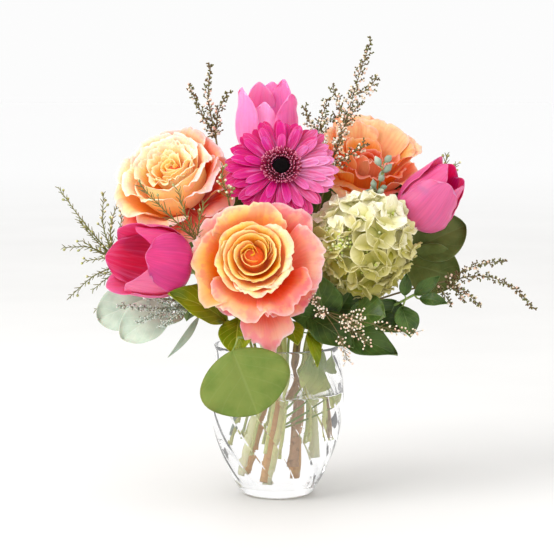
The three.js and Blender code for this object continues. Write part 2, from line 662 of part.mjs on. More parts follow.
const LEAFY = [
  {
    name: "eucalyptus_front", finish: EUCALYPTUS,
    route: { slot: [-5, -22], foot: 40, radius: 1.9, way: [[-14, -58, 136], [-30, -74, 137]] },
    leaves: [
      {
        base: [-34, -80, 128], tip: [-15, -82, 79], width: 72,
        face: [0.05, -1, 0.1], outline: "round", bend: 0.04, cup: -0.03, from: 1,
      },
    ],
  },
  {
    name: "eucalyptus_left", finish: EUCALYPTUS_PALE,
    route: { slot: [-21, -2], foot: 44, radius: 1.9, way: [[-48, -12, 146], [-78, -26, 160], [-104, -32, 162]] },
    leaves: [
      {
        base: [-104, -34, 161], tip: [-141, -30, 146], width: 34,
        face: [0.1, -1, 0.3], outline: "round", from: 1,
      },
      {
        base: [-84, -36, 155], tip: [-122, -44, 132], width: 34,
        face: [0.1, -0.9, 0.5], outline: "round", from: 0.86,
      },
      {
        base: [-62, -30, 148], tip: [-86, -42, 117], width: 8,
        face: [0.6, -0.8, 0.2], outline: "long", from: 0.72,
      },
    ],
  },
  {
    name: "eucalyptus_right", finish: EUCALYPTUS,
    route: { slot: [21, 11], foot: 46, radius: 1.9, way: [[58, 28, 158], [92, 28, 180], [108, 20, 192]] },
    leaves: [
      {
        base: [110, 19, 197], tip: [153, 14, 217], width: 40,
        face: [0.1, -1, 0.2], outline: "round", from: 1,
      },
      {
        base: [104, 18, 186], tip: [148, 8, 174], width: 42,
        face: [0.15, -1, 0.2], outline: "round", from: 0.94,
      },
    ],
  },
  {
    name: "eucalyptus_low_right", finish: DEEP_LEAF,
    route: { slot: [17, -13], foot: 48, radius: 1.8, way: [[42, -30, 142], [56, -38, 145]] },
    leaves: [
      {
        base: [44, -38, 138], tip: [94, -54, 120], width: 28,
        face: [0.1, -0.9, 0.5], outline: "oval", wave: 2.5, from: 0.94,
      },
      {
        base: [58, -44, 150], tip: [84, -64, 152], width: 32,
        face: [-0.1, -0.8, 0.6], outline: "round", from: 1,
      },
      {
        base: [66, -38, 144], tip: [104, -44, 138], width: 22,
        face: [0.2, -0.7, 0.7], outline: "oval", from: 1,
      },
    ],
  },
  {
    name: "salal_left", finish: SALAL,
    route: { slot: [-12, -17], foot: 38, radius: 1.9, way: [[-32, -42, 142]] },
    leaves: [
      {
        base: [-40, -48, 145], tip: [-86, -72, 163], width: 26,
        face: [0.35, -0.75, 0.5], outline: "oval", bend: 0.12, from: 0.97,
      },
      {
        base: [-30, -52, 148], tip: [-32, -76, 122], width: 28,
        face: [-0.1, -0.9, 0.4], outline: "oval", bend: 0.1, from: 1,
      },
    ],
  },
  {
    name: "salal_right", finish: SALAL,
    route: { slot: [3, -24], foot: 36, radius: 1.8, way: [[11, -44, 141]] },
    leaves: [
      {
        base: [8, -50, 146], tip: [16, -68, 130], width: 17,
        face: [0.2, -0.9, 0.3], outline: "oval", from: 1,
      },
      {
        base: [24, -46, 137], tip: [31, -62, 112], width: 12,
        face: [0.5, -0.8, 0.2], outline: "long", from: 1,
      },
      {
        base: [23, -23, 86], tip: [33, -24, 121], width: 18,
        face: [0.4, -0.9, 0], outline: "oval", height: 68, cup: 0.05,
      },
    ],
  },
  {
    name: "pittosporum", finish: DEEP_LEAF,
    route: { slot: [24, -5], foot: 50, radius: 1.6, way: [[56, -14, 146], [90, -30, 156], [108, -36, 166]] },
    leaves: [
      {
        base: [108, -36, 166], tip: [128, -38, 181], width: 11,
        face: [0.2, -0.9, 0.3], outline: "long", from: 1,
      },
      {
        base: [112, -40, 163], tip: [133, -48, 160], width: 12,
        face: [0, -0.9, 0.6], outline: "long", from: 1,
      },
      {
        base: [100, -40, 166], tip: [101, -44, 184], width: 10,
        face: [0, -1, 0.1], outline: "long", from: 0.95,
      },
      {
        base: [98, -38, 156], tip: [104, -52, 134], width: 20,
        face: [0.2, -0.9, 0.2], outline: "oval", from: 0.93,
      },
    ],
  },
  {
    name: "eucalyptus_back", finish: EUCALYPTUS,
    route: { slot: [-2, 19], foot: 42, radius: 1.9, way: [[-14, 50, 160], [-22, 66, 190], [-26, 74, 224]] },
    leaves: [
      {
        base: [-26, 75, 226], tip: [-28, 78, 268], width: 38,
        face: [0, 1, 0.1], outline: "round", from: 1,
      },
      {
        base: [-30, 72, 210], tip: [-66, 62, 226], width: 36,
        face: [-0.2, 1, 0.3], outline: "round", from: 0.94,
      },
      {
        base: [-16, 74, 202], tip: [18, 78, 222], width: 36,
        face: [0.1, 1, 0.2], outline: "round", from: 0.9,
      },
      {
        base: [-26, 68, 182], tip: [-58, 64, 160], width: 34,
        face: [-0.2, 1, 0.3], outline: "round", from: 0.8,
      },
      {
        base: [-8, 66, 176], tip: [22, 74, 156], width: 34,
        face: [0.2, 1, 0.3], outline: "round", from: 0.78,
      },
    ],
  },
  {
    name: "salal_back", finish: DEEP_LEAF,
    route: { slot: [9, 20], foot: 44, radius: 1.8, way: [[34, 56, 158], [50, 74, 184]] },
    leaves: [
      {
        base: [52, 76, 188], tip: [66, 86, 236], width: 34,
        face: [0.2, 1, 0.2], outline: "oval", from: 1,
      },
      {
        base: [60, 72, 176], tip: [100, 60, 188], width: 30,
        face: [0.4, 1, 0.3], outline: "oval", from: 0.96,
      },
      {
        base: [44, 72, 166], tip: [52, 88, 134], width: 30,
        face: [0.2, 1, 0.4], outline: "oval", from: 0.9,
      },
    ],
  },
  {
    name: "salal_back_left", finish: DEEP_LEAF,
    route: { slot: [-12, 14], foot: 46, radius: 1.8, way: [[-42, 44, 158], [-66, 54, 180]] },
    leaves: [
      {
        base: [-68, 55, 184], tip: [-104, 48, 216], width: 32,
        face: [-0.4, 1, 0.3], outline: "oval", from: 1,
      },
      {
        base: [-72, 48, 174], tip: [-116, 28, 170], width: 30,
        face: [-0.6, 0.5, 0.8], outline: "oval", from: 0.97,
      },
      {
        base: [-60, 54, 164], tip: [-76, 64, 132], width: 28,
        face: [-0.3, 1, 0.3], outline: "oval", from: 0.9,
      },
    ],
  },
];

for (const one of LEAFY) addTrimmed(one.name, (swell) => leafyStem(one, swell), one.finish);

const SPRAYS = [
  {
    name: "waxflower_front_left", finish: WAX_GREEN, spacing: 9.9, seed: 3,
    needle: { length: 13, radius: 0.5, lean: 1.5 },
    route: { slot: [-18, -12], foot: 50, radius: 1.3, way: [[-40, -28, 160], [-52, -38, 188], [-62, -54, 210]] },
    twigs: [
      { points: [1, [-84, -66, 232], [-105, -66, 254]] },
      { points: [1, [-70, -64, 230], [-76, -64, 250]] },
      { points: [1, [-60, -64, 224], [-56, -64, 240]] },
    ],
  },
  {
    name: "waxflower_far_left", finish: WAX_GREEN, spacing: 13.2, seed: 5,
    needle: { length: 8, radius: 0.5, lean: 1.2 },
    route: { slot: [-19, 7], foot: 50, radius: 1.3, way: [[-54, 14, 156], [-96, 8, 176], [-130, 2, 190]] },
    twigs: [
      { points: [1, [-154, 4, 218], [-176, 6, 248]] },
      { points: [1, [-140, 8, 216], [-140, 10, 243]] },
      { points: [1, [-150, 0, 200], [-172, 0, 200]] },
      { points: [0.95, [-146, -4, 178], [-167, -6, 160]] },
    ],
  },
  {
    name: "waxflower_middle", finish: WAX_GREEN, spacing: 8.8, seed: 8,
    needle: { length: 7, radius: 0.5, lean: 1.2 },
    route: { slot: [-6, -7], foot: 46, radius: 1.3, way: [[-22, -8, 176], [-34, -20, 218], [-38, -40, 242]] },
    twigs: [
      { points: [1, [-42, -50, 256], [-42, -56, 268]] },
      { points: [1, [-34, -52, 250]] },
    ],
  },
  {
    name: "waxflower_right", finish: WAX_GREEN, spacing: 7.7, seed: 9,
    needle: { length: 8, radius: 0.5, lean: 1.6 },
    route: { slot: [15, 17], foot: 50, radius: 1.3, way: [[52, 44, 164], [104, 44, 206], [132, 30, 246]] },
    twigs: [
      { points: [1, [136, 26, 260], [138, 24, 274]] },
      { points: [1, [146, 24, 266]] },
    ],
  },
  {
    name: "heather_top_left", finish: HEATHER_TWIG, spacing: 9.9, seed: 11,
    needle: { length: 4.6, radius: 1.3, lean: 0.9, bud: true },
    route: { slot: [-10, 9], foot: 48, radius: 1.3, way: [[-26, 30, 190], [-44, 40, 250], [-50, 38, 286]] },
    twigs: [
      { points: [1, [-62, 36, 308], [-72, 34, 330]] },
      { points: [1, [-56, 36, 320], [-54, 36, 346]] },
      { points: [1, [-48, 38, 308], [-40, 38, 324]] },
    ],
  },
  {
    name: "heather_tall", finish: HEATHER_TWIG, spacing: 12.1, seed: 12,
    needle: { length: 4.8, radius: 1.4, lean: 0.9, bud: true },
    route: { slot: [8, 3], foot: 44, radius: 1.3, way: [[22, 8, 180], [34, 2, 230], [40, -4, 262]] },
    twigs: [
      { points: [1, [52, 0, 290], [62, 4, 326], [75, 8, 365]] },
      { points: [[54, 1, 296], [50, 6, 314], [45, 8, 328]] },
      { points: [[61, 4, 322], [72, 6, 326], [80, 8, 336]] },
      { points: [1, [32, 2, 284], [22, 4, 312]] },
      { points: [1, [56, -14, 274], [70, -18, 284]] },
    ],
  },
  {
    name: "heather_right", finish: HEATHER_TWIG, spacing: 9.9, seed: 14,
    needle: { length: 4.6, radius: 1.2, lean: 0.9, bud: true },
    route: { slot: [24, 4], foot: 48, radius: 1.3, way: [[66, 8, 150], [104, -6, 166], [134, -12, 174]] },
    twigs: [
      { points: [1, [166, -10, 178], [190, -8, 168], [206, -6, 151]] },
      { points: [1, [156, -14, 186], [182, -10, 190]] },
      { points: [1, [150, -16, 166], [162, -12, 154]] },
    ],
  },
  {
    name: "heather_low_right", finish: HEATHER_BUD, spacing: 9.9, seed: 15,
    needle: { length: 5, radius: 1.5, lean: 0.8, bud: true },
    route: { slot: [9, -18], foot: 52, radius: 1.3, way: [[27, -38, 146], [36, -60, 156]] },
    twigs: [
      { points: [1, [52, -78, 152], [74, -80, 146], [94, -76, 142], [112, -70, 140]] },
      { points: [1, [40, -78, 164], [44, -84, 174]] },
      { points: [1, [44, -74, 142], [50, -74, 124]] },
    ],
  },
  {
    name: "seeded_eucalyptus", finish: HEATHER_TWIG, spacing: 11, seed: 17,
    needle: { length: 6, radius: 1.5, lean: 0.7, bud: true },
    route: { slot: [-24, -9], foot: 52, radius: 1.3, way: [[-50, -44, 148], [-66, -56, 160]] },
    twigs: [
      { points: [1, [-94, -60, 156], [-120, -58, 154]] },
      { points: [1, [-80, -64, 152], [-90, -64, 144]] },
      { points: [1, [-84, -60, 164], [-98, -60, 168]] },
    ],
  },
  {
    name: "eucalyptus_buds", finish: EUCALYPTUS_PALE, spacing: 9.9, seed: 18,
    needle: { length: 9, radius: 2.6, lean: 1.2, bud: true },
    route: { slot: [14, -2], foot: 46, radius: 1.3, way: [[48, 18, 168], [76, 16, 212], [80, -8, 242]] },
    twigs: [
      { points: [1, [82, -22, 258], [84, -26, 270]] },
      { points: [1, [76, -26, 248]] },
    ],
  },
];

for (const one of SPRAYS) addTrimmed(one.name, (swell) => spray(one, swell), one.finish);

// ---------------------------------------------------------------- vase and water, last

add("vase", buildVase(), GLASS);
add("water", buildWater(standing.filter(({ name }) => name !== "vase").map(({ swollen }) => swollen)), WATER);

export default bouquet;
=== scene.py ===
"""Gives a packed bouquet in a glass vase its looks.

Each bloom, leafy stem and spray repeats the form of its CAD node with finer petals, leaves, needles and
buds, and stands where the node stands. Sizes are millimetres in the frame's own axes, +Z up and the
bouquet's front to -Y, and turn into metres where a mesh is made.
"""

from __future__ import annotations

import logging
import math
from dataclasses import dataclass, replace
from enum import Enum

import bpy
import numpy as np
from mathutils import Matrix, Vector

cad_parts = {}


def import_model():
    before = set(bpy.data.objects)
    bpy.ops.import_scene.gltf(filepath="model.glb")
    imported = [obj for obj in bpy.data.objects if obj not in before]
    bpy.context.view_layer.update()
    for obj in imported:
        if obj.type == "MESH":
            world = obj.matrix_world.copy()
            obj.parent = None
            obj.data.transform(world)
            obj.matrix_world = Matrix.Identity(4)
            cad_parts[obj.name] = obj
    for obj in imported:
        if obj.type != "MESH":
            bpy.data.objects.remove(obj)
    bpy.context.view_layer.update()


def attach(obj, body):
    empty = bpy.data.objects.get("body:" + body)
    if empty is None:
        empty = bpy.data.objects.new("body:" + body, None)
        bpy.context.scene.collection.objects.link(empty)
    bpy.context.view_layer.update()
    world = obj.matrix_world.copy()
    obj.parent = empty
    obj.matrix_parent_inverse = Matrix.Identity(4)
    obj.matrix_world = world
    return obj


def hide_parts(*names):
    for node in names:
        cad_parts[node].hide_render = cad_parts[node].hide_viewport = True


LOG = logging.getLogger("bouquet")

Array = np.ndarray
Point = tuple[float, float, float]
Material = bpy.types.Material
Socket = bpy.types.NodeSocket
Stops = dict[float, str]  # colours by their places from 0 to 1

METRES = 0.001  # one millimetre
GOLDEN_ANGLE = math.pi * (3 - math.sqrt(5))
BODY = "root"


# ---- ways and turns


def unit(vectors: Array) -> Array:
    """Scales the vectors on the last axis to a length of one."""
    return vectors / np.maximum(np.linalg.norm(vectors, axis=-1, keepdims=True), 1e-12)


def turns_to(axes: Array) -> Array:
    """Finds the least turn that carries +Z to each axis.

    With the axis (x, y, z) of length one, the turn is I + K + K K / (1 + z), where K is the cross
    product matrix of Z and the axis.

    Args:
        axes: Directions on the last axis of the array.

    Returns:
        A three by three turn for each direction.
    """
    x, y, z = np.moveaxis(unit(np.asarray(axes, float)), -1, 0)
    share = 1 / (1 + z)
    rows = [
        [1 - x * x * share, -x * y * share, x],
        [-x * y * share, 1 - y * y * share, y],
        [-x, -y, z],
    ]
    return np.moveaxis(np.array(rows), (0, 1), (-2, -1))


def on_axis(heights: Array) -> Array:
    """Lists points on a flower's own axis."""
    return np.stack([0 * heights, 0 * heights, heights], -1)


def spokes(angle: Array) -> Array:
    """Lists level directions of length one, at angles round the axis."""
    return np.stack([np.cos(angle), np.sin(angle), 0 * angle], -1)


def swing(out: Array, side: Array, rise: Array, facing: Array | float) -> Array:
    """Turns places, given as out, sideways and up, so that out looks along the facing."""
    return np.stack([out * np.cos(facing) - side * np.sin(facing),
                     out * np.sin(facing) + side * np.cos(facing), rise + 0 * out], -1)


def around(headings: Array, turn: Array | float = 0.0) -> Array:
    """Finds a direction square to each heading, each turned on from the last by the golden angle.

    Args:
        headings: The headings.
        turn: A turn more.

    Returns:
        The directions.
    """
    angle = np.arange(len(headings)) * GOLDEN_ANGLE + turn
    side = unit(np.cross(headings, np.array([0.3, 1.0, 0.2])))
    other = np.cross(headings, side)
    return side * np.cos(angle)[:, None] + other * np.sin(angle)[:, None]


def blend(first: Array | float, second: Array | float, share: Array | float) -> Array | float:
    """Goes from first to second in a straight line as share goes from 0 to 1."""
    return first + (second - first) * share


def step_up(value: Array, low: float, high: float) -> Array:
    """Rises smoothly from 0 at low to 1 at high: 3 s s - 2 s s s, with s the share of the way."""
    share = np.clip((value - low) / (high - low), 0, 1)
    return share * share * (3 - 2 * share)


class Way:
    """A smooth way through points: a centripetal Catmull-Rom curve, a cubic between each two knots."""

    def __init__(self, knots: Array | list) -> None:
        """Works out the cubics.

        Args:
            knots: The points that the way goes through, two or more.
        """
        knots = np.asarray(knots, float)
        run = np.vstack([2 * knots[0] - knots[1], knots, 2 * knots[-1] - knots[-2]])
        before, start, end, after = run[:-3], run[1:-2], run[2:-1], run[3:]
        pace = [np.maximum(((b - a) ** 2).sum(1), 1e-12)[:, None] ** 0.25
                for a, b in ((before, start), (start, end), (end, after))]
        leave = (start - before) / pace[0] - (end - before) / (pace[0] + pace[1]) + (end - start) / pace[1]
        arrive = (end - start) / pace[1] - (after - start) / (pace[1] + pace[2]) + (after - end) / pace[2]
        leave, arrive = leave * pace[1], arrive * pace[1]
        square = 3 * (end - start) - 2 * leave - arrive
        cube = 2 * (start - end) + leave + arrive
        self.terms = np.stack([start, leave, square, cube])
        self.pieces = len(knots) - 1
        self.fine = np.linspace(0, 1, 60 * self.pieces + 1)
        steps = np.linalg.norm(np.diff(self.point(self.fine), axis=0), axis=1)
        self.run = np.concatenate([[0.0], np.cumsum(steps)])
        self.length = float(self.run[-1])

    def point(self, share: Array | float) -> Array:
        """Finds points by the share of the knots passed.

        Args:
            share: Shares from 0 to 1.

        Returns:
            A point for each share.
        """
        passed = np.clip(np.asarray(share, float), 0, 1) * self.pieces
        piece = np.minimum(passed.astype(int), self.pieces - 1)
        s = (passed - piece)[..., None]
        start, leave, square, cube = self.terms[:, piece]
        return start + s * (leave + s * (square + s * cube))

    def at(self, share: Array | float) -> Array:
        """Finds points by the share of the length passed, from 0 to 1."""
        return self.point(np.interp(np.asarray(share, float) * self.length, self.run, self.fine))

    def heading(self, share: Array | float) -> Array:
        """Finds the direction of travel at shares of the length."""
        share = np.asarray(share, float)
        return unit(self.at(np.minimum(share + 0.004, 1)) - self.at(np.maximum(share - 0.004, 0)))


@dataclass(frozen=True)
class Stand:
    """Where a flower stands: its base and the axis that its own +Z points along."""

    base: Point
    axis: Point

    def place(self, points: Array) -> Array:
        """Carries points from the flower's own frame to the bouquet's."""
        return points @ turns_to(np.array(self.axis)).T + np.array(self.base)

    def along(self, distance: float) -> Array:
        """Finds the point at a distance along the axis from the base."""
        return np.array(self.base) + distance * unit(np.array(self.axis, float))


# ---- meshes from arrays


def ring_faces(rings: int, sides: int) -> tuple[Array, Array]:
    """Lists the faces of a closed body of rings, whose two poles are numbered after the rings.

    Args:
        rings: How many rings there are.
        sides: Points in a ring.

    Returns:
        The walls between the rings, and the ends from the first and last ring to their poles.
    """
    ids = np.arange(rings * sides).reshape(rings, sides)
    after = np.roll(ids, -1, axis=1)
    walls = np.stack([ids[:-1], after[:-1], after[1:], ids[1:]], -1).reshape(-1, 4)
    foot = np.stack([np.full(sides, ids.size), after[0], ids[0]], -1)
    head = np.stack([np.full(sides, ids.size + 1), ids[-1], after[-1]], -1)
    return walls, np.vstack([foot, head])


class Sheaf:
    """Gathers closed shells, tubes and small turned bodies into one mesh.

    Every vertex carries two attributes that the finishes read. Mark is (across, along, tone), and layer is
    (depth, side, edge), each from 0 to 1: where a vertex is on its petal or leaf, a tone drawn for that
    petal, how far out the petal is in its bloom, 0 on the face and 1 on the back, and nearness to the edge.
    On the gerbera's rays the tone is partly painted light, by the way a ray faces, and on the hydrangea the
    depth is partly painted shade, by how far a floret faces down.
    """

    def __init__(self) -> None:
        """Starts an empty sheaf."""
        self.points: list[Array] = []
        self.marks: list[Array] = []
        self.layers: list[Array] = []
        self.faces: list[tuple[Array, bool, int]] = []
        self.count = 0

    def take(self, points: Array, marks: Array, layers: Array, faces: list[tuple[Array, bool]],
             coat: int = 0) -> None:
        """Adds vertices with their marks, and faces that count from the first of these vertices.

        Args:
            points: Vertex places.
            marks: Mark of each vertex.
            layers: Layer of each vertex.
            faces: Corner numbers of faces, with whether they are shaded smooth.
            coat: Which of the finishes the faces wear.
        """
        self.points.append(points.reshape(-1, 3))
        self.marks.append(marks.reshape(-1, 3))
        self.layers.append(layers.reshape(-1, 3))
        self.faces += [(corners.reshape(-1, corners.shape[-1]) + self.count, smooth, coat)
                       for corners, smooth in faces]
        self.count += self.points[-1].shape[0]

    def shells(self, middle: Array, thickness: float, tone: Array | float = 0.5, depth: Array | float = 0.5,
               edge: Array | None = None, coat: int = 0) -> None:
        """Adds thin closed blades, each with its middle surface on a grid.

        Each side stands half the thickness off the middle along the cross product of the grid's two
        directions, and a rim of flat faces joins the sides.

        Args:
            middle: Points, as (blade, row along, column across, 3) or one blade of (row, column, 3).
            thickness: Thickness at the middle of a blade. It halves towards the edge.
            tone: One for each blade, or one for all.
            depth: One for each blade, or one for all.
            edge: Nearness to the edge at each grid point, worked out from the grid where it isn't given.
            coat: Which of the finishes the blades wear.
        """
        middle = np.asarray(middle, float)
        middle = middle[None] if middle.ndim == 3 else middle
        blades, rows, columns, _ = middle.shape
        across = np.linspace(0, 1, columns)[None, None, :] + np.zeros((blades, rows, 1))
        along = np.linspace(0, 1, rows)[None, :, None] + np.zeros((blades, 1, columns))
        if edge is None:
            edge = np.maximum(np.abs(2 * across - 1), along) ** 3
        edge = np.broadcast_to(edge, along.shape)
        normal = unit(np.cross(np.gradient(middle, axis=2), np.gradient(middle, axis=1)))
        stand_off = normal * (thickness / 2 * (1 - 0.5 * edge))[..., None]
        skins = np.stack([middle + stand_off, middle - stand_off], axis=1)
        tones = np.broadcast_to(np.reshape(tone, (-1, 1, 1)), along.shape)
        depths = np.broadcast_to(np.reshape(depth, (-1, 1, 1)), along.shape)
        mark = np.stack([across, along, tones], -1)
        marks = np.stack([mark, mark], axis=1)
        layers = np.stack([np.stack([depths, np.full(along.shape, side), edge], -1)
                           for side in (0.0, 1.0)], axis=1)
        ids = np.arange(rows * columns).reshape(rows, columns)
        front = np.stack([ids[:-1, :-1], ids[:-1, 1:], ids[1:, 1:], ids[1:, :-1]], -1).reshape(-1, 4)
        count = rows * columns
        border = np.concatenate([ids[0, :-1], ids[:-1, -1], ids[-1, :0:-1], ids[:0:-1, 0]])
        following = np.roll(border, -1)
        rim = np.stack([following, border, border + count, following + count], -1)
        first = np.arange(blades)[:, None, None] * (2 * count)
        sides = np.vstack([front, front[:, ::-1] + count])
        self.take(skins, marks, layers, [(sides[None] + first, True), (rim[None] + first, False)], coat)

    def turned(self, roots: Array, tips: Array, outline: list[tuple[float, float]], sides: int,
               girth: Array | float = 1.0, tone: Array | float = 0.5, coat: int = 0,
               grown: float = 0.0) -> None:
        """Adds small turned bodies, such as buds and needles, each about its own spine.

        A ring stands at each share t of the spine with radius r, and a pole closes each end.

        Args:
            roots: Where each spine starts.
            tips: Where each spine ends.
            outline: Pairs of share along the spine and radius.
            sides: Points in a ring.
            girth: Factor on the radius of each body.
            tone: One for each body, or one for all.
            coat: Which of the finishes the bodies wear.
            grown: Share of the plant's height that the finish starts from at the root.
        """
        roots, tips = np.atleast_2d(roots), np.atleast_2d(tips)
        bodies, rings = len(roots), len(outline)
        share, radius = np.array(outline, float).T
        angle = 2 * np.pi * np.arange(sides) / sides
        spine = tips - roots
        length = np.linalg.norm(spine, axis=1)
        wide = radius[None, :, None] * np.reshape(girth, (-1, 1, 1)) * np.ones((bodies, 1, 1))
        own = np.stack([
            wide * np.cos(angle), wide * np.sin(angle),
            (share[None, :, None] * length[:, None, None]) * np.ones((1, 1, sides)),
        ], -1)
        rings_placed = np.einsum("kij,kpsj->kpsi", turns_to(spine), own) + roots[:, None, None]
        poles = np.stack([roots + spine * share[0], roots + spine * share[-1]], axis=1)
        points = np.concatenate([rings_placed.reshape(bodies, -1, 3), poles], axis=1)
        across = np.concatenate([np.tile(angle / (2 * np.pi), rings), [0.5, 0.5]])
        along = grown + (1 - grown) * np.concatenate([np.repeat(share, sides), [share[0], share[-1]]])
        count = rings * sides + 2
        mark = np.empty((bodies, count, 3))
        mark[..., 0], mark[..., 1] = across, along
        mark[..., 2] = np.reshape(tone, (-1, 1))
        layer = np.full((bodies, count, 3), 0.5) * [1, 0, 0]
        first = np.arange(bodies)[:, None, None] * count
        faces = [(part[None] + first, True) for part in ring_faces(rings, sides)]
        self.take(points, mark, layer, faces, coat)

    def tube(self, centres: Array, radii: Array, sides: int = 10, tone: float = 0.5, depth: float = 0.5,
             coat: int = 0, grown: float = 0.0) -> None:
        """Adds a closed tube: a ring about each centre, square to the way, and a pole at each end.

        Args:
            centres: Points along the tube's middle.
            radii: Radius at each point.
            sides: Points in a ring.
            tone: The tube's tone.
            depth: The tube's depth.
            coat: Which of the finishes the tube wears.
            grown: Share of the plant's height that the finish starts from.
        """
        centres = np.asarray(centres, float)
        along = unit(np.gradient(centres, axis=0))
        run = np.abs(centres[-1] - centres[0])
        guide = np.eye(3)[int(np.argmin(run))]
        side = unit(guide - (along @ guide)[:, None] * along)
        other = np.cross(along, side)
        angle = 2 * np.pi * np.arange(sides) / sides
        outward = side[:, None] * np.cos(angle)[:, None] + other[:, None] * np.sin(angle)[:, None]
        rings = centres[:, None] + outward * np.asarray(radii, float)[:, None, None]
        count = len(centres)
        points = np.vstack([rings.reshape(-1, 3), centres[:1], centres[-1:]])
        across = np.concatenate([np.tile(angle / (2 * np.pi), count), [0.5, 0.5]])
        share = np.concatenate([np.repeat(np.linspace(grown, 1, count), sides), [grown, 1]])
        mark = np.stack([across, share, np.full(len(share), tone)], -1)
        layer = np.full(mark.shape, depth) * [1, 0, 0]
        walls, ends = ring_faces(count, sides)
        self.take(points, mark, layer, [(walls, True), (ends, False)], coat)

    def piece(self, node: str, slot: str, finishes: list[Material]) -> None:
        """Makes the mesh and lets it stand for its CAD node.

        Args:
            node: The CAD node that the piece replaces.
            slot: The record's material slot; not used.
            finishes: The materials, in the order of the coats.
        """
        mesh = bpy.data.meshes.new(f"{node}_fine")
        points, marks, layers = (np.vstack(part) for part in (self.points, self.marks, self.layers))
        corners = np.concatenate([faces.ravel() for faces, _, _ in self.faces])
        counts = [len(faces) for faces, _, _ in self.faces]
        sizes = np.repeat([faces.shape[1] for faces, _, _ in self.faces], counts)
        smooth = np.repeat([soft for _, soft, _ in self.faces], counts)
        coats = np.repeat([coat for _, _, coat in self.faces], counts)
        mesh.vertices.add(len(points))
        mesh.vertices.foreach_set("co", (points * METRES).ravel())
        mesh.loops.add(len(corners))
        mesh.loops.foreach_set("vertex_index", corners)
        mesh.polygons.add(len(sizes))
        mesh.polygons.foreach_set("loop_start", np.concatenate([[0], np.cumsum(sizes)[:-1]]))
        for finish in finishes:
            mesh.materials.append(finish)
        mesh.polygons.foreach_set("material_index", coats)
        mesh.polygons.foreach_set("use_smooth", smooth)
        for name, values in (("mark", marks), ("layer", layers)):
            mesh.attributes.new(name, "FLOAT_VECTOR", "POINT").data.foreach_set("vector", values.ravel())
        mesh.uv_layers.new(name="skin").data.foreach_set("uv", marks[corners, :2].ravel())
        mesh.update(calc_edges=True)
        mesh.validate()
        piece = bpy.data.objects.new(f"{node}_fine", mesh)
        bpy.context.scene.collection.objects.link(piece)
        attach(piece, BODY)
        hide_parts(node)
        LOG.info("%s: %d vertices, %d faces", piece.name, len(points), len(sizes))


# ---- finishes


def shade(code: str) -> tuple[float, float, float, float]:
    """Turns a colour as written on screens into a linear one.

    Args:
        code: The colour, such as #d83a86.

    Returns:
        Red, green, blue and 1.
    """
    screen = np.array([int(code[k:k + 2], 16) / 255 for k in (1, 3, 5)])
    linear = np.where(screen <= 0.04045, screen / 12.92, ((screen + 0.055) / 1.055) ** 2.4)
    return (*linear.tolist(), 1.0)


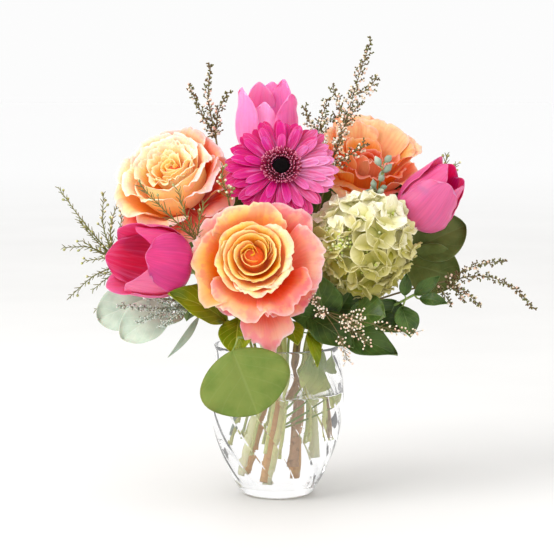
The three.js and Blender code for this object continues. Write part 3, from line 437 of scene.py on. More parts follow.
class Bench:
    """Lays out the nodes of one finish and links them to its surface."""

    def __init__(self, name: str) -> None:
        """Starts a material.

        Args:
            name: The material's name.
        """
        self.material = bpy.data.materials.new(name)
        self.material.use_nodes = True
        self.tree = self.material.node_tree
        self.surface = self.tree.nodes["Principled BSDF"]

    def feed(self, value: object, into: Socket) -> None:
        """Feeds a node's socket.

        Args:
            value: A socket to link, or a number or the code of a colour to set.
            into: The socket that takes it.
        """
        if isinstance(value, Socket):
            self.tree.links.new(value, into)
        else:
            into.default_value = shade(value) if isinstance(value, str) else value

    def node(self, kind: str, feeds: dict | None = None, **settings: object) -> bpy.types.Node:
        """Adds a node.

        Args:
            kind: Its kind, such as TexNoise.
            feeds: What goes into its sockets, by their names or numbers.
            settings: Its other settings.

        Returns:
            The node.
        """
        node = self.tree.nodes.new(f"ShaderNode{kind}")
        for name, value in settings.items():
            setattr(node, name, value)
        for socket, value in (feeds or {}).items():
            self.feed(value, node.inputs[socket])
        return node

    def put(self, **values: object) -> None:
        """Feeds the surface's own sockets, with a low line for each space in a socket's name."""
        for name, value in values.items():
            self.feed(value, self.surface.inputs[name.replace("_", " ")])

    def split(self, vector: Socket) -> tuple[Socket, ...]:
        """Takes a vector apart into three numbers."""
        return tuple(self.node("SeparateXYZ", {0: vector}).outputs)

    def attribute(self, name: str) -> tuple[Socket, ...]:
        """Reads an attribute of the mesh as three numbers."""
        return self.split(self.node("Attribute", attribute_name=name).outputs["Vector"])

    def vector(self, x: object, y: object, z: object) -> Socket:
        """Joins three numbers into a vector."""
        return self.node("CombineXYZ", {0: x, 1: y, 2: z}).outputs[0]

    def place(self) -> Socket:
        """Reads the place on the object, in metres."""
        return self.node("TexCoord").outputs["Object"]

    def sum(self, operation: str, first: object, second: object = 0.0) -> Socket:
        """Works out one sum of one or two numbers, such as SINE or MAXIMUM."""
        return self.node("Math", {0: first, 1: second}, operation=operation).outputs[0]

    def times(self, first: object, second: object, more: object = 0.0) -> Socket:
        """Multiplies two numbers and adds a third."""
        return self.node("Math", {0: first, 1: second, 2: more}, operation="MULTIPLY_ADD").outputs[0]

    def noise(self, vector: Socket, scale: float, detail: float = 2.0,
              roughness: float = 0.5) -> Socket:
        """Draws a soft noise from 0 to 1 over a vector."""
        feeds = {"Vector": vector, "Scale": scale, "Detail": detail, "Roughness": roughness}
        return self.node("TexNoise", feeds).outputs[0]

    def ramp(self, value: Socket, stops: Stops) -> Socket:
        """Turns a number into a colour.

        Args:
            value: The number, from 0 to 1.
            stops: Colours that it goes smoothly through.

        Returns:
            The colour.
        """
        node = self.node("ValToRGB", {0: value})
        elements = node.color_ramp.elements
        while len(elements) < len(stops):
            elements.new(0.5)
        for element, (where, colour) in zip(elements, stops.items()):
            element.position = where
            element.color = shade(colour)
        return node.outputs[0]

    def rise(self, value: object, low: float, high: float, top: float = 1.0) -> Socket:
        """Goes from 0 where the value is low to top where it is high, smoothly."""
        feeds = {"Value": value, "From Min": low, "From Max": high, "To Max": top}
        return self.node("MapRange", feeds, interpolation_type="SMOOTHSTEP").outputs[0]

    def mix(self, share: object, first: object, second: object) -> Socket:
        """Mixes two colours by a share."""
        return self.node("Mix", {0: share, 6: first, 7: second}, data_type="RGBA").outputs[2]

    def light(self, colour: object, value: object, depth: object = 1.0) -> Socket:
        """Makes a colour lighter by a factor and deeper by another."""
        return self.node("HueSaturation", {"Color": colour, "Value": value, "Saturation": depth}).outputs[0]

    def bump(self, height: Socket, strength: float, reach: float) -> None:
        """Raises the surface by a height, in metres at full strength."""
        node = self.node("Bump", {"Height": height, "Strength": strength, "Distance": reach})
        self.put(Normal=node.outputs[0])


@dataclass(frozen=True)
class PetalFinish:
    """A soft petal with lengthwise veins, coloured from claw to lip and from the heart outwards."""

    name: str
    heart: Stops  # colours from claw to lip on the inmost petals
    middle: Stops  # on the petals half way out
    outer: Stops  # and on the outmost
    reverse: str  # colour of the petal's back
    reverse_share: float
    rim: Stops  # colours of the very edge, from the heart outwards
    rim_share: float
    streak: str  # colour of the lengthwise streaks
    streak_share: float
    streaks: float  # streaks across a petal
    blush: str = "#f08070"  # patches near the lips of the outer petals
    blush_share: float = 0.0
    roughness: float = 0.5
    glow: float = 0.5  # share of light that goes through the petal
    painted_glow: float = 0.06  # painted glow: the petal gives out its own colour as light, which lightens its shade
    gloss: float = 0.25
    vein: float = 0.2  # how much lighter and darker the fine veins are

    def make(self) -> Material:
        """Builds the material. A petal's tone makes it paler, and near 1 it widens the rim.

        Returns:
            The material.
        """
        bench = Bench(self.name)
        across, along, tone = bench.attribute("mark")
        depth, side, edge = bench.attribute("layer")
        heart, middle = bench.ramp(along, self.heart), bench.ramp(along, self.middle)
        inward = bench.mix(bench.rise(depth, 0.0, 0.5), heart, middle)
        colour = bench.mix(bench.rise(depth, 0.5, 1.0), inward, bench.ramp(along, self.outer))
        seed = bench.times(tone, 37.0)
        lanes = bench.vector(bench.times(across, self.streaks), bench.times(along, 1.6), seed)
        streak = bench.times(tone, 0.24, bench.noise(lanes, 1.0, 3.0, 0.6))
        colour = bench.mix(bench.rise(streak, 0.55, 0.85, self.streak_share), colour, self.streak)
        patch = bench.noise(bench.place(), 75.0, 4.0, 0.6)
        zone = bench.times(bench.rise(along, 0.45, 0.9), depth)
        blush = bench.times(bench.rise(patch, 0.44, 0.58, self.blush_share), zone)
        colour = bench.mix(blush, colour, self.blush)
        colour = bench.mix(bench.times(side, self.reverse_share), colour, self.reverse)
        rim = bench.rise(bench.sum("ADD", edge, bench.rise(tone, 0.8, 1.0, 0.4)), 0.84, 1.06, self.rim_share)
        colour = bench.mix(rim, colour, bench.ramp(depth, self.rim))
        fine = bench.vector(bench.times(across, 3.2 * self.streaks), bench.times(along, 3.0), seed)
        vein = bench.noise(fine, 1.0)
        bright = bench.times(vein, self.vein, bench.times(tone, 0.2, 0.92 - self.vein / 2))
        colour = bench.light(colour, bright, bench.times(tone, -0.24, 1.1))
        # The emission is painted glow, which lightens the petals where shade falls deep in the bloom.
        bench.put(Base_Color=colour, Roughness=self.roughness, Subsurface_Weight=self.glow,
                  Subsurface_Scale=0.004, Specular_IOR_Level=self.gloss, Emission_Color=colour,
                  Emission_Strength=self.painted_glow)
        bench.bump(vein, 0.5, 0.0005)
        return bench.material


@dataclass(frozen=True)
class LeafFinish:
    """A leaf with a midrib, side veins that rise from it, mottling and a paler back."""

    name: str
    slot: str  # the record's material slot
    face: str
    deep: str  # the darker patches
    vein: str
    reverse: str
    veins: float = 9.0  # pairs of side veins
    vein_share: float = 0.35
    rim: str = "#a9b76a"
    roughness: float = 0.5
    polish: float = 0.0  # share of clear wax over the leaf

    def make(self) -> Material:
        """Builds the material.

        Returns:
            The material.
        """
        bench = Bench(self.name)
        across, along, tone = bench.attribute("mark")
        _, side, edge = bench.attribute("layer")
        off_rib = bench.sum("ABSOLUTE", bench.times(across, 2.0, -1.0))
        patch = bench.noise(bench.place(), 55.0, 4.0, 0.6)
        colour = bench.mix(bench.rise(patch, 0.35, 0.7), self.face, self.deep)
        course = bench.times(along, self.veins, bench.times(off_rib, -0.3 * self.veins))
        vein = bench.rise(bench.sum("PINGPONG", course, 0.5), 0.09, 0.0, self.vein_share)
        rib = bench.rise(off_rib, 0.05, 0.0, min(1.0, 2.0 * self.vein_share))
        lines = bench.sum("MAXIMUM", vein, rib)
        colour = bench.mix(lines, colour, self.vein)
        colour = bench.mix(bench.times(side, 0.7), colour, self.reverse)
        colour = bench.mix(bench.rise(edge, 0.85, 1.0, 0.4), colour, self.rim)
        colour = bench.light(colour, bench.times(tone, 0.3, 0.85))
        bench.put(Base_Color=colour, Roughness=self.roughness, Coat_Weight=self.polish, Coat_Roughness=0.25,
                  Subsurface_Weight=0.1, Subsurface_Scale=0.002, Specular_IOR_Level=0.18)
        grain = bench.times(bench.noise(bench.place(), 900.0), 0.35)
        bench.bump(bench.times(lines, -1.6, grain), 0.6, 0.0004)
        return bench.material


@dataclass(frozen=True)
class StemFinish:
    """A stem or twig, coloured from its cut end to its head, with lengthwise grain and small spots."""

    name: str
    course: Stops  # colours from the cut end to the head; the pale low stops are painted light on the stems in the vase, which the glass shades
    spot: str
    spot_share: float = 0.5
    roughness: float = 0.55
    grain: float = 14.0  # ridges round the stem
    painted_glow: float = 0.05  # painted glow: the stem gives out its own colour as light, which lightens it in the vase

    def make(self) -> Material:
        """Builds the material.

        Returns:
            The material.
        """
        bench = Bench(self.name)
        across, along, tone = bench.attribute("mark")
        colour = bench.ramp(along, self.course)
        spots = bench.noise(bench.place(), 260.0, 3.0, 0.6)
        colour = bench.mix(bench.rise(spots, 0.52, 0.72, self.spot_share), colour, self.spot)
        colour = bench.light(colour, bench.times(tone, 0.4, 0.8))
        # The emission is painted glow, which lightens the stems where the glass shades them.
        bench.put(Base_Color=colour, Roughness=self.roughness, Subsurface_Weight=0.08,
                  Subsurface_Scale=0.002, Emission_Color=colour, Emission_Strength=self.painted_glow)
        ridges = bench.vector(bench.times(across, self.grain), bench.times(along, 6.0), tone)
        bench.bump(bench.times(spots, 0.5, bench.noise(ridges, 1.0)), 0.5, 0.0005)
        return bench.material


@dataclass(frozen=True)
class BudFinish:
    """Small buds, florets or filaments, coloured from root to tip, with a second colour drawn by tone."""

    name: str
    course: Stops  # colours from root to tip
    other: str  # the colour of some of them
    other_share: float = 0.5
    roughness: float = 0.55

    def make(self) -> Material:
        """Builds the material.

        Returns:
            The material.
        """
        bench = Bench(self.name)
        _, along, tone = bench.attribute("mark")
        colour = bench.ramp(along, self.course)
        most = 1 - self.other_share
        colour = bench.mix(bench.rise(tone, most - 0.05, most), colour, self.other)
        speck = bench.noise(bench.place(), 700.0)
        colour = bench.mix(bench.rise(speck, 0.5, 0.9, 0.3), colour, self.other)
        bench.put(Base_Color=colour, Roughness=self.roughness, Subsurface_Weight=0.1, Subsurface_Scale=0.001,
                  Specular_IOR_Level=0.2)
        bench.bump(speck, 0.4, 0.0003)
        return bench.material


@dataclass(frozen=True)
class ClearFinish:
    """Glass or water: clear, with a faint waviness or a swirl of shallow facets."""

    name: str
    tint: str
    index: float  # of refraction
    wave: float = 0.0  # height of the waviness, in metres
    painted_glass_glow: float = 0.0  # painted glow: faint light that the glass gives out, which lightens its dark edges
    lobes: int = 0  # shallow facets round it
    swirl: float = 0.0  # turn of the facets for each metre up, in radians
    facet: float = 0.0  # depth of the facets, in metres
    foot: tuple[float, float] = (0.004, 0.03)  # heights between which the facets begin
    neck: tuple[float, float] = (0.085, 0.116)  # and those between which they end

    def make(self) -> Material:
        """Builds the material.

        Returns:
            The material.
        """
        bench = Bench(self.name)
        # The emission is painted glow on the glass.
        bench.put(Base_Color=self.tint, Roughness=0.0, IOR=self.index, Transmission_Weight=1.0,
                  Emission_Color=self.tint, Emission_Strength=self.painted_glass_glow)
        if self.wave:
            bench.bump(bench.noise(bench.place(), 24.0, 1.0), 1.0, self.wave)
        if self.lobes:
            x, y, z = bench.split(bench.place())
            turn = bench.times(z, self.swirl, bench.sum("ARCTAN2", y, x))
            arch = bench.sum("ABSOLUTE", bench.sum("SINE", bench.times(turn, self.lobes / 2)))
            fade = bench.sum("SUBTRACT", bench.rise(z, *self.foot), bench.rise(z, *self.neck))
            bench.bump(bench.times(arch, fade), 1.0, -self.facet)
        return bench.material


# A petal's colours: heart, middle, outer, then its back, its rim and its streaks, each with its share.

# On the roses, the dark red claw ends of the heart, middle and outer stops are partly the petals' own deep
# base and partly painted shade down among the petals.
ROSE_PETAL = PetalFinish(
    "rose_petal",
    {0: "#dc5c18", 0.5: "#f49838", 0.8: "#fcc04a", 0.97: "#fcd05a"},
    {0: "#e04c1a", 0.5: "#f99a44", 0.76: "#fdc258", 0.97: "#fdd088"},
    {0: "#b81c0e", 0.54: "#e04624", 0.8: "#f88e74", 0.97: "#fba0a0"},
    "#f9a85c", 0.5, {0: "#fccc64", 0.5: "#fddab0", 1: "#fbd0d2"}, 0.6, "#f8886c", 0.3, streaks=11.0,
    blush="#f05a70", blush_share=0.7,
)
PALE_ROSE_PETAL = PetalFinish(
    "pale_rose_petal",
    {0: "#cc400c", 0.5: "#f4983c", 0.82: "#fcd46e", 0.97: "#fdeaa6"},
    {0: "#d84414", 0.5: "#f9b05e", 0.78: "#fdd694", 0.97: "#fee8c8"},
    {0: "#980c0c", 0.64: "#c8281a", 0.84: "#f79880", 0.97: "#fab0b6"},
    "#fdd08c", 0.65, {0: "#fdeeb0", 0.5: "#feeac8", 1: "#fbd6da"}, 0.55, "#f8a468", 0.35, streaks=11.0,
    blush="#f48c88", blush_share=0.6, painted_glow=0.1,
)
CORAL_PETAL = PetalFinish(
    "coral_rose_petal",
    {0: "#800a0a", 0.5: "#a81414", 0.84: "#cc3428", 0.98: "#f08878"},
    {0: "#b8240c", 0.45: "#f07428", 0.75: "#fbac5c", 0.97: "#fac08c"},
    {0: "#d85010", 0.4: "#f8a65c", 0.72: "#fcc894", 0.97: "#facab0"},
    "#f08838", 0.55, {0: "#f8a898", 1: "#f0b8b4"}, 0.5, "#f46c34", 0.45, streaks=14.0, blush="#f47040",
    blush_share=0.5, painted_glow=0.08,
)
PINK_TULIP_PETAL = PetalFinish(
    "pink_tulip_petal",
    {0: "#f0b8bc", 0.1: "#e04070", 0.55: "#d42c60", 0.97: "#e04a84"},
    {0: "#f0b8bc", 0.1: "#de4074", 0.55: "#d63068", 0.97: "#e2548e"},
    {0: "#f2bcc2", 0.1: "#d84c7c", 0.55: "#d43c72", 0.97: "#e06ca2"},
    "#dc5c90", 0.75, {0: "#ec7cb0", 1: "#f4a4cc"}, 0.45, "#ec86b6", 0.5, streaks=10.0, blush="#c81e5c",
    blush_share=0.3, roughness=0.34, vein=0.5,
)
PALE_TULIP_PETAL = PetalFinish(
    "pale_tulip_petal",
    {0: "#f8d0da", 0.15: "#f07cb4", 0.6: "#f488c2", 0.97: "#f8a4d4"},
    {0: "#f8d0da", 0.15: "#f07cb4", 0.6: "#f488c0", 0.97: "#f8a4d4"},
    {0: "#fad6de", 0.15: "#ee74ae", 0.6: "#f07ab4", 0.97: "#f8a0d2"},
    "#ee7cb8", 0.7, {0: "#f8b0d8", 1: "#fcc4e2"}, 0.4, "#fab4dc", 0.4, streaks=8.0, blush="#f05c98",
    blush_share=0.4, roughness=0.34, painted_glow=0.1, vein=0.4,
)
GERBERA_PETAL = PetalFinish(
    "gerbera_petal",
    {0: "#980c46", 0.4: "#d02878", 0.97: "#e24c9c"},
    {0: "#980c46", 0.4: "#c41c62", 0.97: "#d83a82"},
    {0: "#840a3c", 0.4: "#b41456", 0.97: "#cc2e74"},
    "#d04c8c", 0.6, {0: "#f08cc8", 1: "#ea80bc"}, 0.45, "#f28cc8", 0.5, streaks=4.0, roughness=0.4, vein=0.5,
)
# The hydrangea's darker stops colour the florets that face down: partly their own green, partly painted
# shade.
HYDRANGEA_PETAL = PetalFinish(
    "hydrangea_petal",
    {0: "#a8ac4c", 0.3: "#e4dfa8", 0.97: "#fbf6e4"},
    {0: "#84882c", 0.35: "#b8b058", 0.97: "#ddd49c"},
    {0: "#6a6c1c", 0.35: "#948e30", 0.97: "#bcb264"},
    "#b8ae68", 0.6, {0: "#fbf6e4", 1: "#dcd6a4"}, 0.3, "#b0a848", 0.3, streaks=5.0, glow=0.0, painted_glow=0.07,
)
GERBERA_FLORETS = BudFinish(
    "gerbera_florets", {0: "#3a0414", 0.45: "#8c1238", 0.75: "#c84a72", 1: "#f0a0b8"}, "#8c1236",
    other_share=0.35,
)
GERBERA_EYE = BudFinish("gerbera_eye", {0: "#030001", 1: "#0c0204"}, "#050102", roughness=1.0)
HYDRANGEA_EYE = BudFinish("hydrangea_eye", {0: "#9aa84a", 1: "#e9ecc0"}, "#c3cf6a")

# Painted light: the pale stops at the cut end lighten the stems down in the vase, where the glass and water
# shade them.
ROSE_STEM = StemFinish("rose_stem", {0: "#d8ac74", 0.2: "#c49464", 0.36: "#b0b068", 1: "#6f9140"}, "#b87c58")
TULIP_STEM = StemFinish(
    "tulip_stem", {0: "#fbfad0", 0.3: "#eef2b0", 0.5: "#c4d080", 1: "#8fae55"}, "#e4e8a8", spot_share=0.3,
    roughness=0.42,
)
GERBERA_STEM = StemFinish(
    "gerbera_stem", {0: "#f0f0b8", 0.3: "#dce098", 1: "#7c9e48"}, "#c3cf84", spot_share=0.4,
)
WOODY_STEM = StemFinish(
    "hydrangea_stem", {0: "#cca480", 0.3: "#bc9470", 0.5: "#a09858", 1: "#8b9c4a"}, "#7c5840", spot_share=0.8,
    roughness=0.7,
)
LEAF_STEM = StemFinish(
    "leaf_stem", {0: "#dcdc94", 0.3: "#c8d080", 0.5: "#94a458", 1: "#7a9448"}, "#a08a60", spot_share=0.4,
)
TWIG = StemFinish(
    "heather_twig", {0: "#c8a884", 0.3: "#b49070", 0.5: "#72603e", 1: "#766a44"}, "#5c5034", roughness=0.75,
)
NEEDLES = StemFinish(
    "waxflower_needles", {0: "#c0c888", 0.35: "#a4b064", 0.6: "#6e7434", 1: "#767240"}, "#a0a048",
)

# A leaf's colours: face, deeper patches, veins and back.

OLIVE_LEAF = LeafFinish(
    "eucalyptus_leaf", "eucalyptus_leaf", "#7d8d42", "#6a8236", "#98a562", "#8e9a66", veins=7.0,
    vein_share=0.13, rim="#a3a860", roughness=0.55,
)
DUSKY_LEAF = LeafFinish(
    "dusky_eucalyptus_leaf", "eucalyptus_leaf", "#66733a", "#505e2a", "#84905a", "#7c8c60", veins=7.0,
    vein_share=0.14, rim="#93a070", roughness=0.5,
)
PALE_LEAF = LeafFinish(
    "pale_eucalyptus_leaf", "eucalyptus_pale", "#c6d3c0", "#aec0ae", "#e6ece0", "#d3ded0", veins=7.0,
    vein_share=0.14, rim="#dbe3cf", roughness=0.6,
)
BRIGHT_LEAF = LeafFinish(
    "bright_leaf", "bright_leaf", "#87920f", "#647808", "#bcc24a", "#a2ac3c", veins=8.0, vein_share=0.4,
    rim="#b0b428", roughness=0.42, polish=0.1,
)
DARK_LEAF = LeafFinish(
    "dark_leaf", "dark_leaf", "#4f6a2c", "#30461a", "#7c9050", "#728450", veins=8.0, vein_share=0.24,
    rim="#67823c", roughness=0.4, polish=0.15,
)

PALE_BUDS = BudFinish("pale_buds", {0: "#a08a60", 0.3: "#eedcc0", 1: "#fdf4e6"}, "#f0ccb4", other_share=0.25)
GREEN_BUDS = BudFinish(
    "green_buds", {0: "#403c20", 0.4: "#666638", 1: "#908e5c"}, "#705a3c", other_share=0.35,
)
PALE_SEEDS = BudFinish("pale_seeds", {0: "#a4b0a0", 0.6: "#c6d0c4", 1: "#e6eae0"}, "#8c907c", other_share=0.2)
WAX_BUDS = BudFinish("wax_buds", {0: "#7c8238", 0.4: "#b4b470", 1: "#eeeed4"}, "#a8ac74", other_share=0.45)
PODS = BudFinish("eucalyptus_pods", {0: "#8f9c84", 0.6: "#a9b8a6", 1: "#c9d1bd"}, "#93a390", other_share=0.4)
GLASS = ClearFinish("clear_glass", "#ffffff", 1.28, painted_glass_glow=0.022, lobes=13, swirl=13.0, facet=0.001)
WATER = ClearFinish("water", "#ffffff", 1.33, wave=0.0002)


# ---- vase and water


@dataclass
class Vase:
    """A bellied glass vase with a thick floor, and a swirl of shallow facets on the inside of its wall."""

    wall: float = 3.0
    floor: float = 8.0
    floor_radius: float = 26.0
    outline: tuple = (
        (27, 0), (30, 3), (36.5, 14), (44, 30), (51.5, 54), (54, 80), (52.6, 102), (49.5, 117), (51, 122),
    )
    water_level: float = 84.0
    lobes: int = 13
    swirl: float = 1.5  # turn of the facets from floor to rim, in radians
    facet: float = 1.1  # depth of the facets
    sides: int = 156

    def outer(self, count: int = 64) -> Array:
        """Samples the outside as radius and height, foot to rim."""
        return Way(self.outline).at(np.linspace(0, 1, count))

    def inner_radius(self, height: Array) -> Array:
        """Finds the hollow's radius: the outside less the wall, rounded below.

        Args:
            height: Heights above the hollow's floor.

        Returns:
            The radius at each height.
        """
        outside = self.outer(200)
        radius = np.interp(height, outside[:, 1], outside[:, 0]) - self.wall
        rounding = np.sqrt(np.clip((height - self.floor) / 9.0, 0, 1))
        return blend(np.minimum(self.floor_radius - 1.0, radius), radius, rounding)

    def facets(self, height: Array, angle: Array) -> Array:
        """Finds how far the swirl moves the inner wall out: arches round the vase that turn with height.

        Args:
            height: Heights.
            angle: Angles round the axis.

        Returns:
            The distances.
        """
        share = (height - self.floor) / (self.outline[-1][1] - self.floor)
        fade = step_up(share, 0.0, 0.25) * step_up(share, 1.0, 0.8)
        turned = self.lobes * angle + self.lobes * self.swirl * share
        return self.facet * fade * (1 - 2 * np.abs(np.sin(turned / 2)) ** 0.8)

    def lathe(self, sheaf: Sheaf, rings: Array, low: float, high: float) -> None:
        """Adds a closed body from rings of points, with a pole on the axis below and above.

        Args:
            sheaf: Takes the body.
            rings: Points as (ring, side, 3), the first ring round the lower pole.
            low: Height of the first pole.
            high: Height of the last pole.
        """
        count, sides, _ = rings.shape
        points = np.vstack([rings.reshape(-1, 3), [[0, 0, low], [0, 0, high]]])
        mark = np.zeros((len(points), 3))
        mark[:-2, 0] = np.tile(np.arange(sides) / sides, count)
        mark[:-2, 1] = np.repeat(np.linspace(0, 1, count), sides)
        sheaf.take(points, mark, np.zeros_like(mark), [(part, True) for part in ring_faces(count, sides)])

    def build(self) -> None:
        """Makes the glass and the water."""
        angle = 2 * np.pi * np.arange(self.sides) / self.sides
        spin = np.stack([np.cos(angle), np.sin(angle)], -1)
        outside = self.outer()
        rim_radius, rim_height = outside[-1]
        lip = np.linspace(0.15, 0.85, 6) * np.pi
        half = self.wall / 2
        rim = np.stack([rim_radius - half + half * np.cos(lip), rim_height - 0.9 + 0.9 * np.sin(lip)], -1)
        foot = np.array([[9.0, 0.0], [18.0, 0.0], [25.5, 0.0]])
        heights = np.concatenate([np.linspace(rim_height - 2, self.floor + 9, 44),
                                  self.floor + 9 * np.linspace(0.9, 0.05, 8) ** 2])
        inside = np.stack([self.inner_radius(heights), heights], -1)
        floor = np.array([[18.0, self.floor + 0.2], [8.0, self.floor + 0.6]])
        profile = np.vstack([foot, outside[1:-1], rim, inside, floor])
        radius = np.repeat(profile[:, :1], self.sides, axis=1)
        first = len(foot) + len(outside) - 2 + len(rim)
        inner = slice(first, first + len(inside))
        radius[inner] += self.facets(profile[inner, 1:], angle[None])
        rings = np.dstack([radius[..., None] * spin, np.repeat(profile[:, 1:], self.sides, axis=1)])
        glass = Sheaf()
        self.lathe(glass, rings, 0.0, self.floor + 0.8)
        glass.piece("vase", "clear_glass", [GLASS.make()])

        levels = np.concatenate([self.floor + 9 * np.linspace(0.05, 0.9, 8) ** 2,
                                 np.linspace(self.floor + 9, self.water_level + 0.8, 40)])
        lap = 0.15  # the water reaches this far into the glass, so that no air shows between them
        wet = self.inner_radius(levels)[:, None] + self.facets(levels[:, None], angle[None]) + lap
        top = np.array([[0.985, 0.25], [0.95, 0.03], [0.5, 0.0]]) + [0, self.water_level]
        cover = wet[-1:] * top[:, :1]
        base = np.array([8.0, 18.0])[:, None] + np.zeros((1, self.sides))
        radius = np.vstack([base, wet, cover])
        height = np.concatenate([[self.floor + 0.5, self.floor + 0.1], levels, top[:, 1]])
        rings = np.dstack([radius[..., None] * spin, np.repeat(height[:, None], self.sides, axis=1)])
        water = Sheaf()
        self.lathe(water, rings, self.floor + 0.7, self.water_level)
        water.piece("water", "water", [WATER.make()])


# ---- stems


@dataclass(frozen=True)
class Bundle:
    """How the stems gather in the vase and spread below and above."""

    x: float = 5.0
    y: float = 2.0
    z: float = 92.0
    collar: float = 130.0
    lean: float = -0.13  # sideways drift for each millimetre below the bind
    spread_below: float = 0.0068
    spread_above: float = 0.011

    def at(self, slot: tuple[float, float], height: float) -> Array:
        """Finds where a stem passes a height.

        Args:
            slot: The stem's place across and deep at the bind, from the bundle's middle.
            height: The height.

        Returns:
            The point.
        """
        below = self.z - height
        scale = 1 + self.spread_below * below if below > 0 else 1 - self.spread_above * below
        x, y = self.x + self.lean * max(below, 0) + slot[0] * scale, self.y + slot[1] * scale
        return np.array([x, y, height])


BUNDLE = Bundle()


@dataclass(frozen=True)
class Stem:
    """One stem: straight from its cut end to the bind, then its own way to its head."""

    slot: tuple[float, float]
    foot: float
    radius: float
    way: tuple
    tip: float | None = None

    def free(self) -> Way:
        """Gives the way from the bind to the head."""
        return Way([BUNDLE.at(self.slot, BUNDLE.z), BUNDLE.at(self.slot, BUNDLE.collar), *self.way])

    def to(self, seat: Array, tip: float) -> Stem:
        """Lengthens the way to a seat, where the stem has the radius of a tip."""
        return replace(self, way=(*self.way, tuple(seat)), tip=tip)

    def add(self, sheaf: Sheaf, coat: int = 0, sides: int = 10, knots: float = 0.0,
            end: Array | None = None) -> None:
        """Adds the stem to a sheaf.

        The radius goes evenly from foot to tip and swells at joints: knots times a sharp bump, the cosine
        of the height to the fortieth power.

        Args:
            sheaf: Takes the stem.
            coat: Which of the piece's finishes it wears.
            sides: Points in a ring.
            knots: How much thicker the stem is at its joints, as a share.
            end: A last point beyond the way, such as the seat of a bloom.
        """
        foot = BUNDLE.at(self.slot, self.foot)
        free = self.free()
        upper = free.at(np.linspace(0, 1, 56))
        lower = blend(foot, upper[0], np.linspace(0, 1, 16)[:-1, None])
        parts = [lower, upper] + ([np.atleast_2d(end)] if end is not None else [])
        centres = np.vstack(parts)
        run = np.concatenate([[0], np.cumsum(np.linalg.norm(np.diff(centres, axis=0), axis=1))])
        share = run / run[-1]
        tip = self.tip or 0.8 * self.radius
        joints = np.cos(np.pi * (run / 34.0 + self.foot)) ** 40
        radii = blend(self.radius, tip, share) * (1 + knots * joints)
        sheaf.tube(centres, radii, sides, tone=(self.slot[0] * 0.37 + self.slot[1] * 0.61) % 1.0, coat=coat)


# ---- roses


@dataclass(frozen=True)
class RosePetal:
    """One rose petal in the bloom's own frame, with angles in degrees and sizes in millimetres."""

    facing: float  # angle of its middle round the axis: 0 is the bloom's right and 90 its top
    span: float  # half the angle that it covers at its lip
    lip: float  # radius of the lip before it curls
    height: float
    belly: float
    depth: float  # place in the bloom's colours, from 0 at the heart to 1 on the skirt
    curl: float = 0.0  # how far the lip curls out
    drop: float = 0.0  # how far the curl falls
    ruffle: float = 0.6
    pale: float = 0.0  # its tone, for a petal with a wide pale rim
    point: float = 0.0  # how far a tip stands beyond the lip
    point_at: float = 0.0  # where it is across the petal, from -1 to 1
    shift: tuple[float, float] = (0.0, 0.0)  # of the petal's own axis
    rows: int = 26  # grid points along it

    def surface(self) -> tuple[Array, Array]:
        """Works out the middle surface.

        A rib goes from the hip out and up to the lip and over its curl. It is swung round the axis, wider
        as it rises, and slides outwards across the petal, so that neighbours overlap. Its end comes earlier
        towards the corners and at small nicks, sines ruffle the lip, and slow sines crumple the whole
        petal. The tip is a bell curve along the rib's end.

        Returns:
            The grid's points and its nearness to the edge.
        """
        rib = Way([
            (2.5, 4.0), (0.8 * self.belly, 0.33 * self.height),
            (blend(self.belly, self.lip, 0.35), 0.7 * self.height),
            (self.lip, self.height), (self.lip + max(self.curl, 0.3), self.height - self.drop),
        ])
        u = np.linspace(1, -1, 27 if self.lip < 20 else 45)[None, :]
        v = (1 - (1 - np.linspace(0, 1, self.rows)) ** 1.35)[:, None]
        phase = math.radians(3 * self.facing) + self.height
        uneven = np.sin(3.7 * u + 1.9 * phase) ** 2
        sharp = np.sin(23 * u + 2.3 * phase) + 0.7 * np.sin(41 * u + 1.7 * phase)
        nick = np.sin(9 * u + phase) + uneven * sharp
        reach = v * (0.98 - 0.08 * u * u - 0.1 * np.abs(u) ** 7 - 0.009 * self.ruffle * nick * v**6)
        p = rib.at(reach)
        end = rib.heading(np.array(0.97))
        tip = self.point * np.exp(-(((u - self.point_at) / 0.22) ** 2)) * v**5
        fine = np.sin(13 * u + 2 * phase + 2 * uneven) * v**6
        fine = fine + 0.6 * np.sin(31 * u + phase + 3 * uneven) * v**12
        wave = self.ruffle * (np.sin(2.3 * np.pi * u + phase) * v**4 + uneven * fine)
        crumple = np.sin(4.3 * u + 6 * v + phase) * np.sin(8 * v - 3 * u + 2 * phase)
        wave = wave + 0.022 * self.lip * crumple * v
        angle = math.radians(self.facing) + u * math.radians(self.span) * (0.25 + 1.75 * v - v * v)
        slide = u * blend(0.3, 1.8, np.minimum(1, 2 * v))
        out = p[..., 0] + slide + wave * end[1] + tip * end[0]
        rise = p[..., 1] + wave * end[0] + tip * end[1]
        grid = np.stack([self.shift[0] + out * np.cos(angle), self.shift[1] + out * np.sin(angle), rise], -1)
        return grid, np.maximum(np.abs(u) ** 6 * v, v**3 * np.ones_like(u))


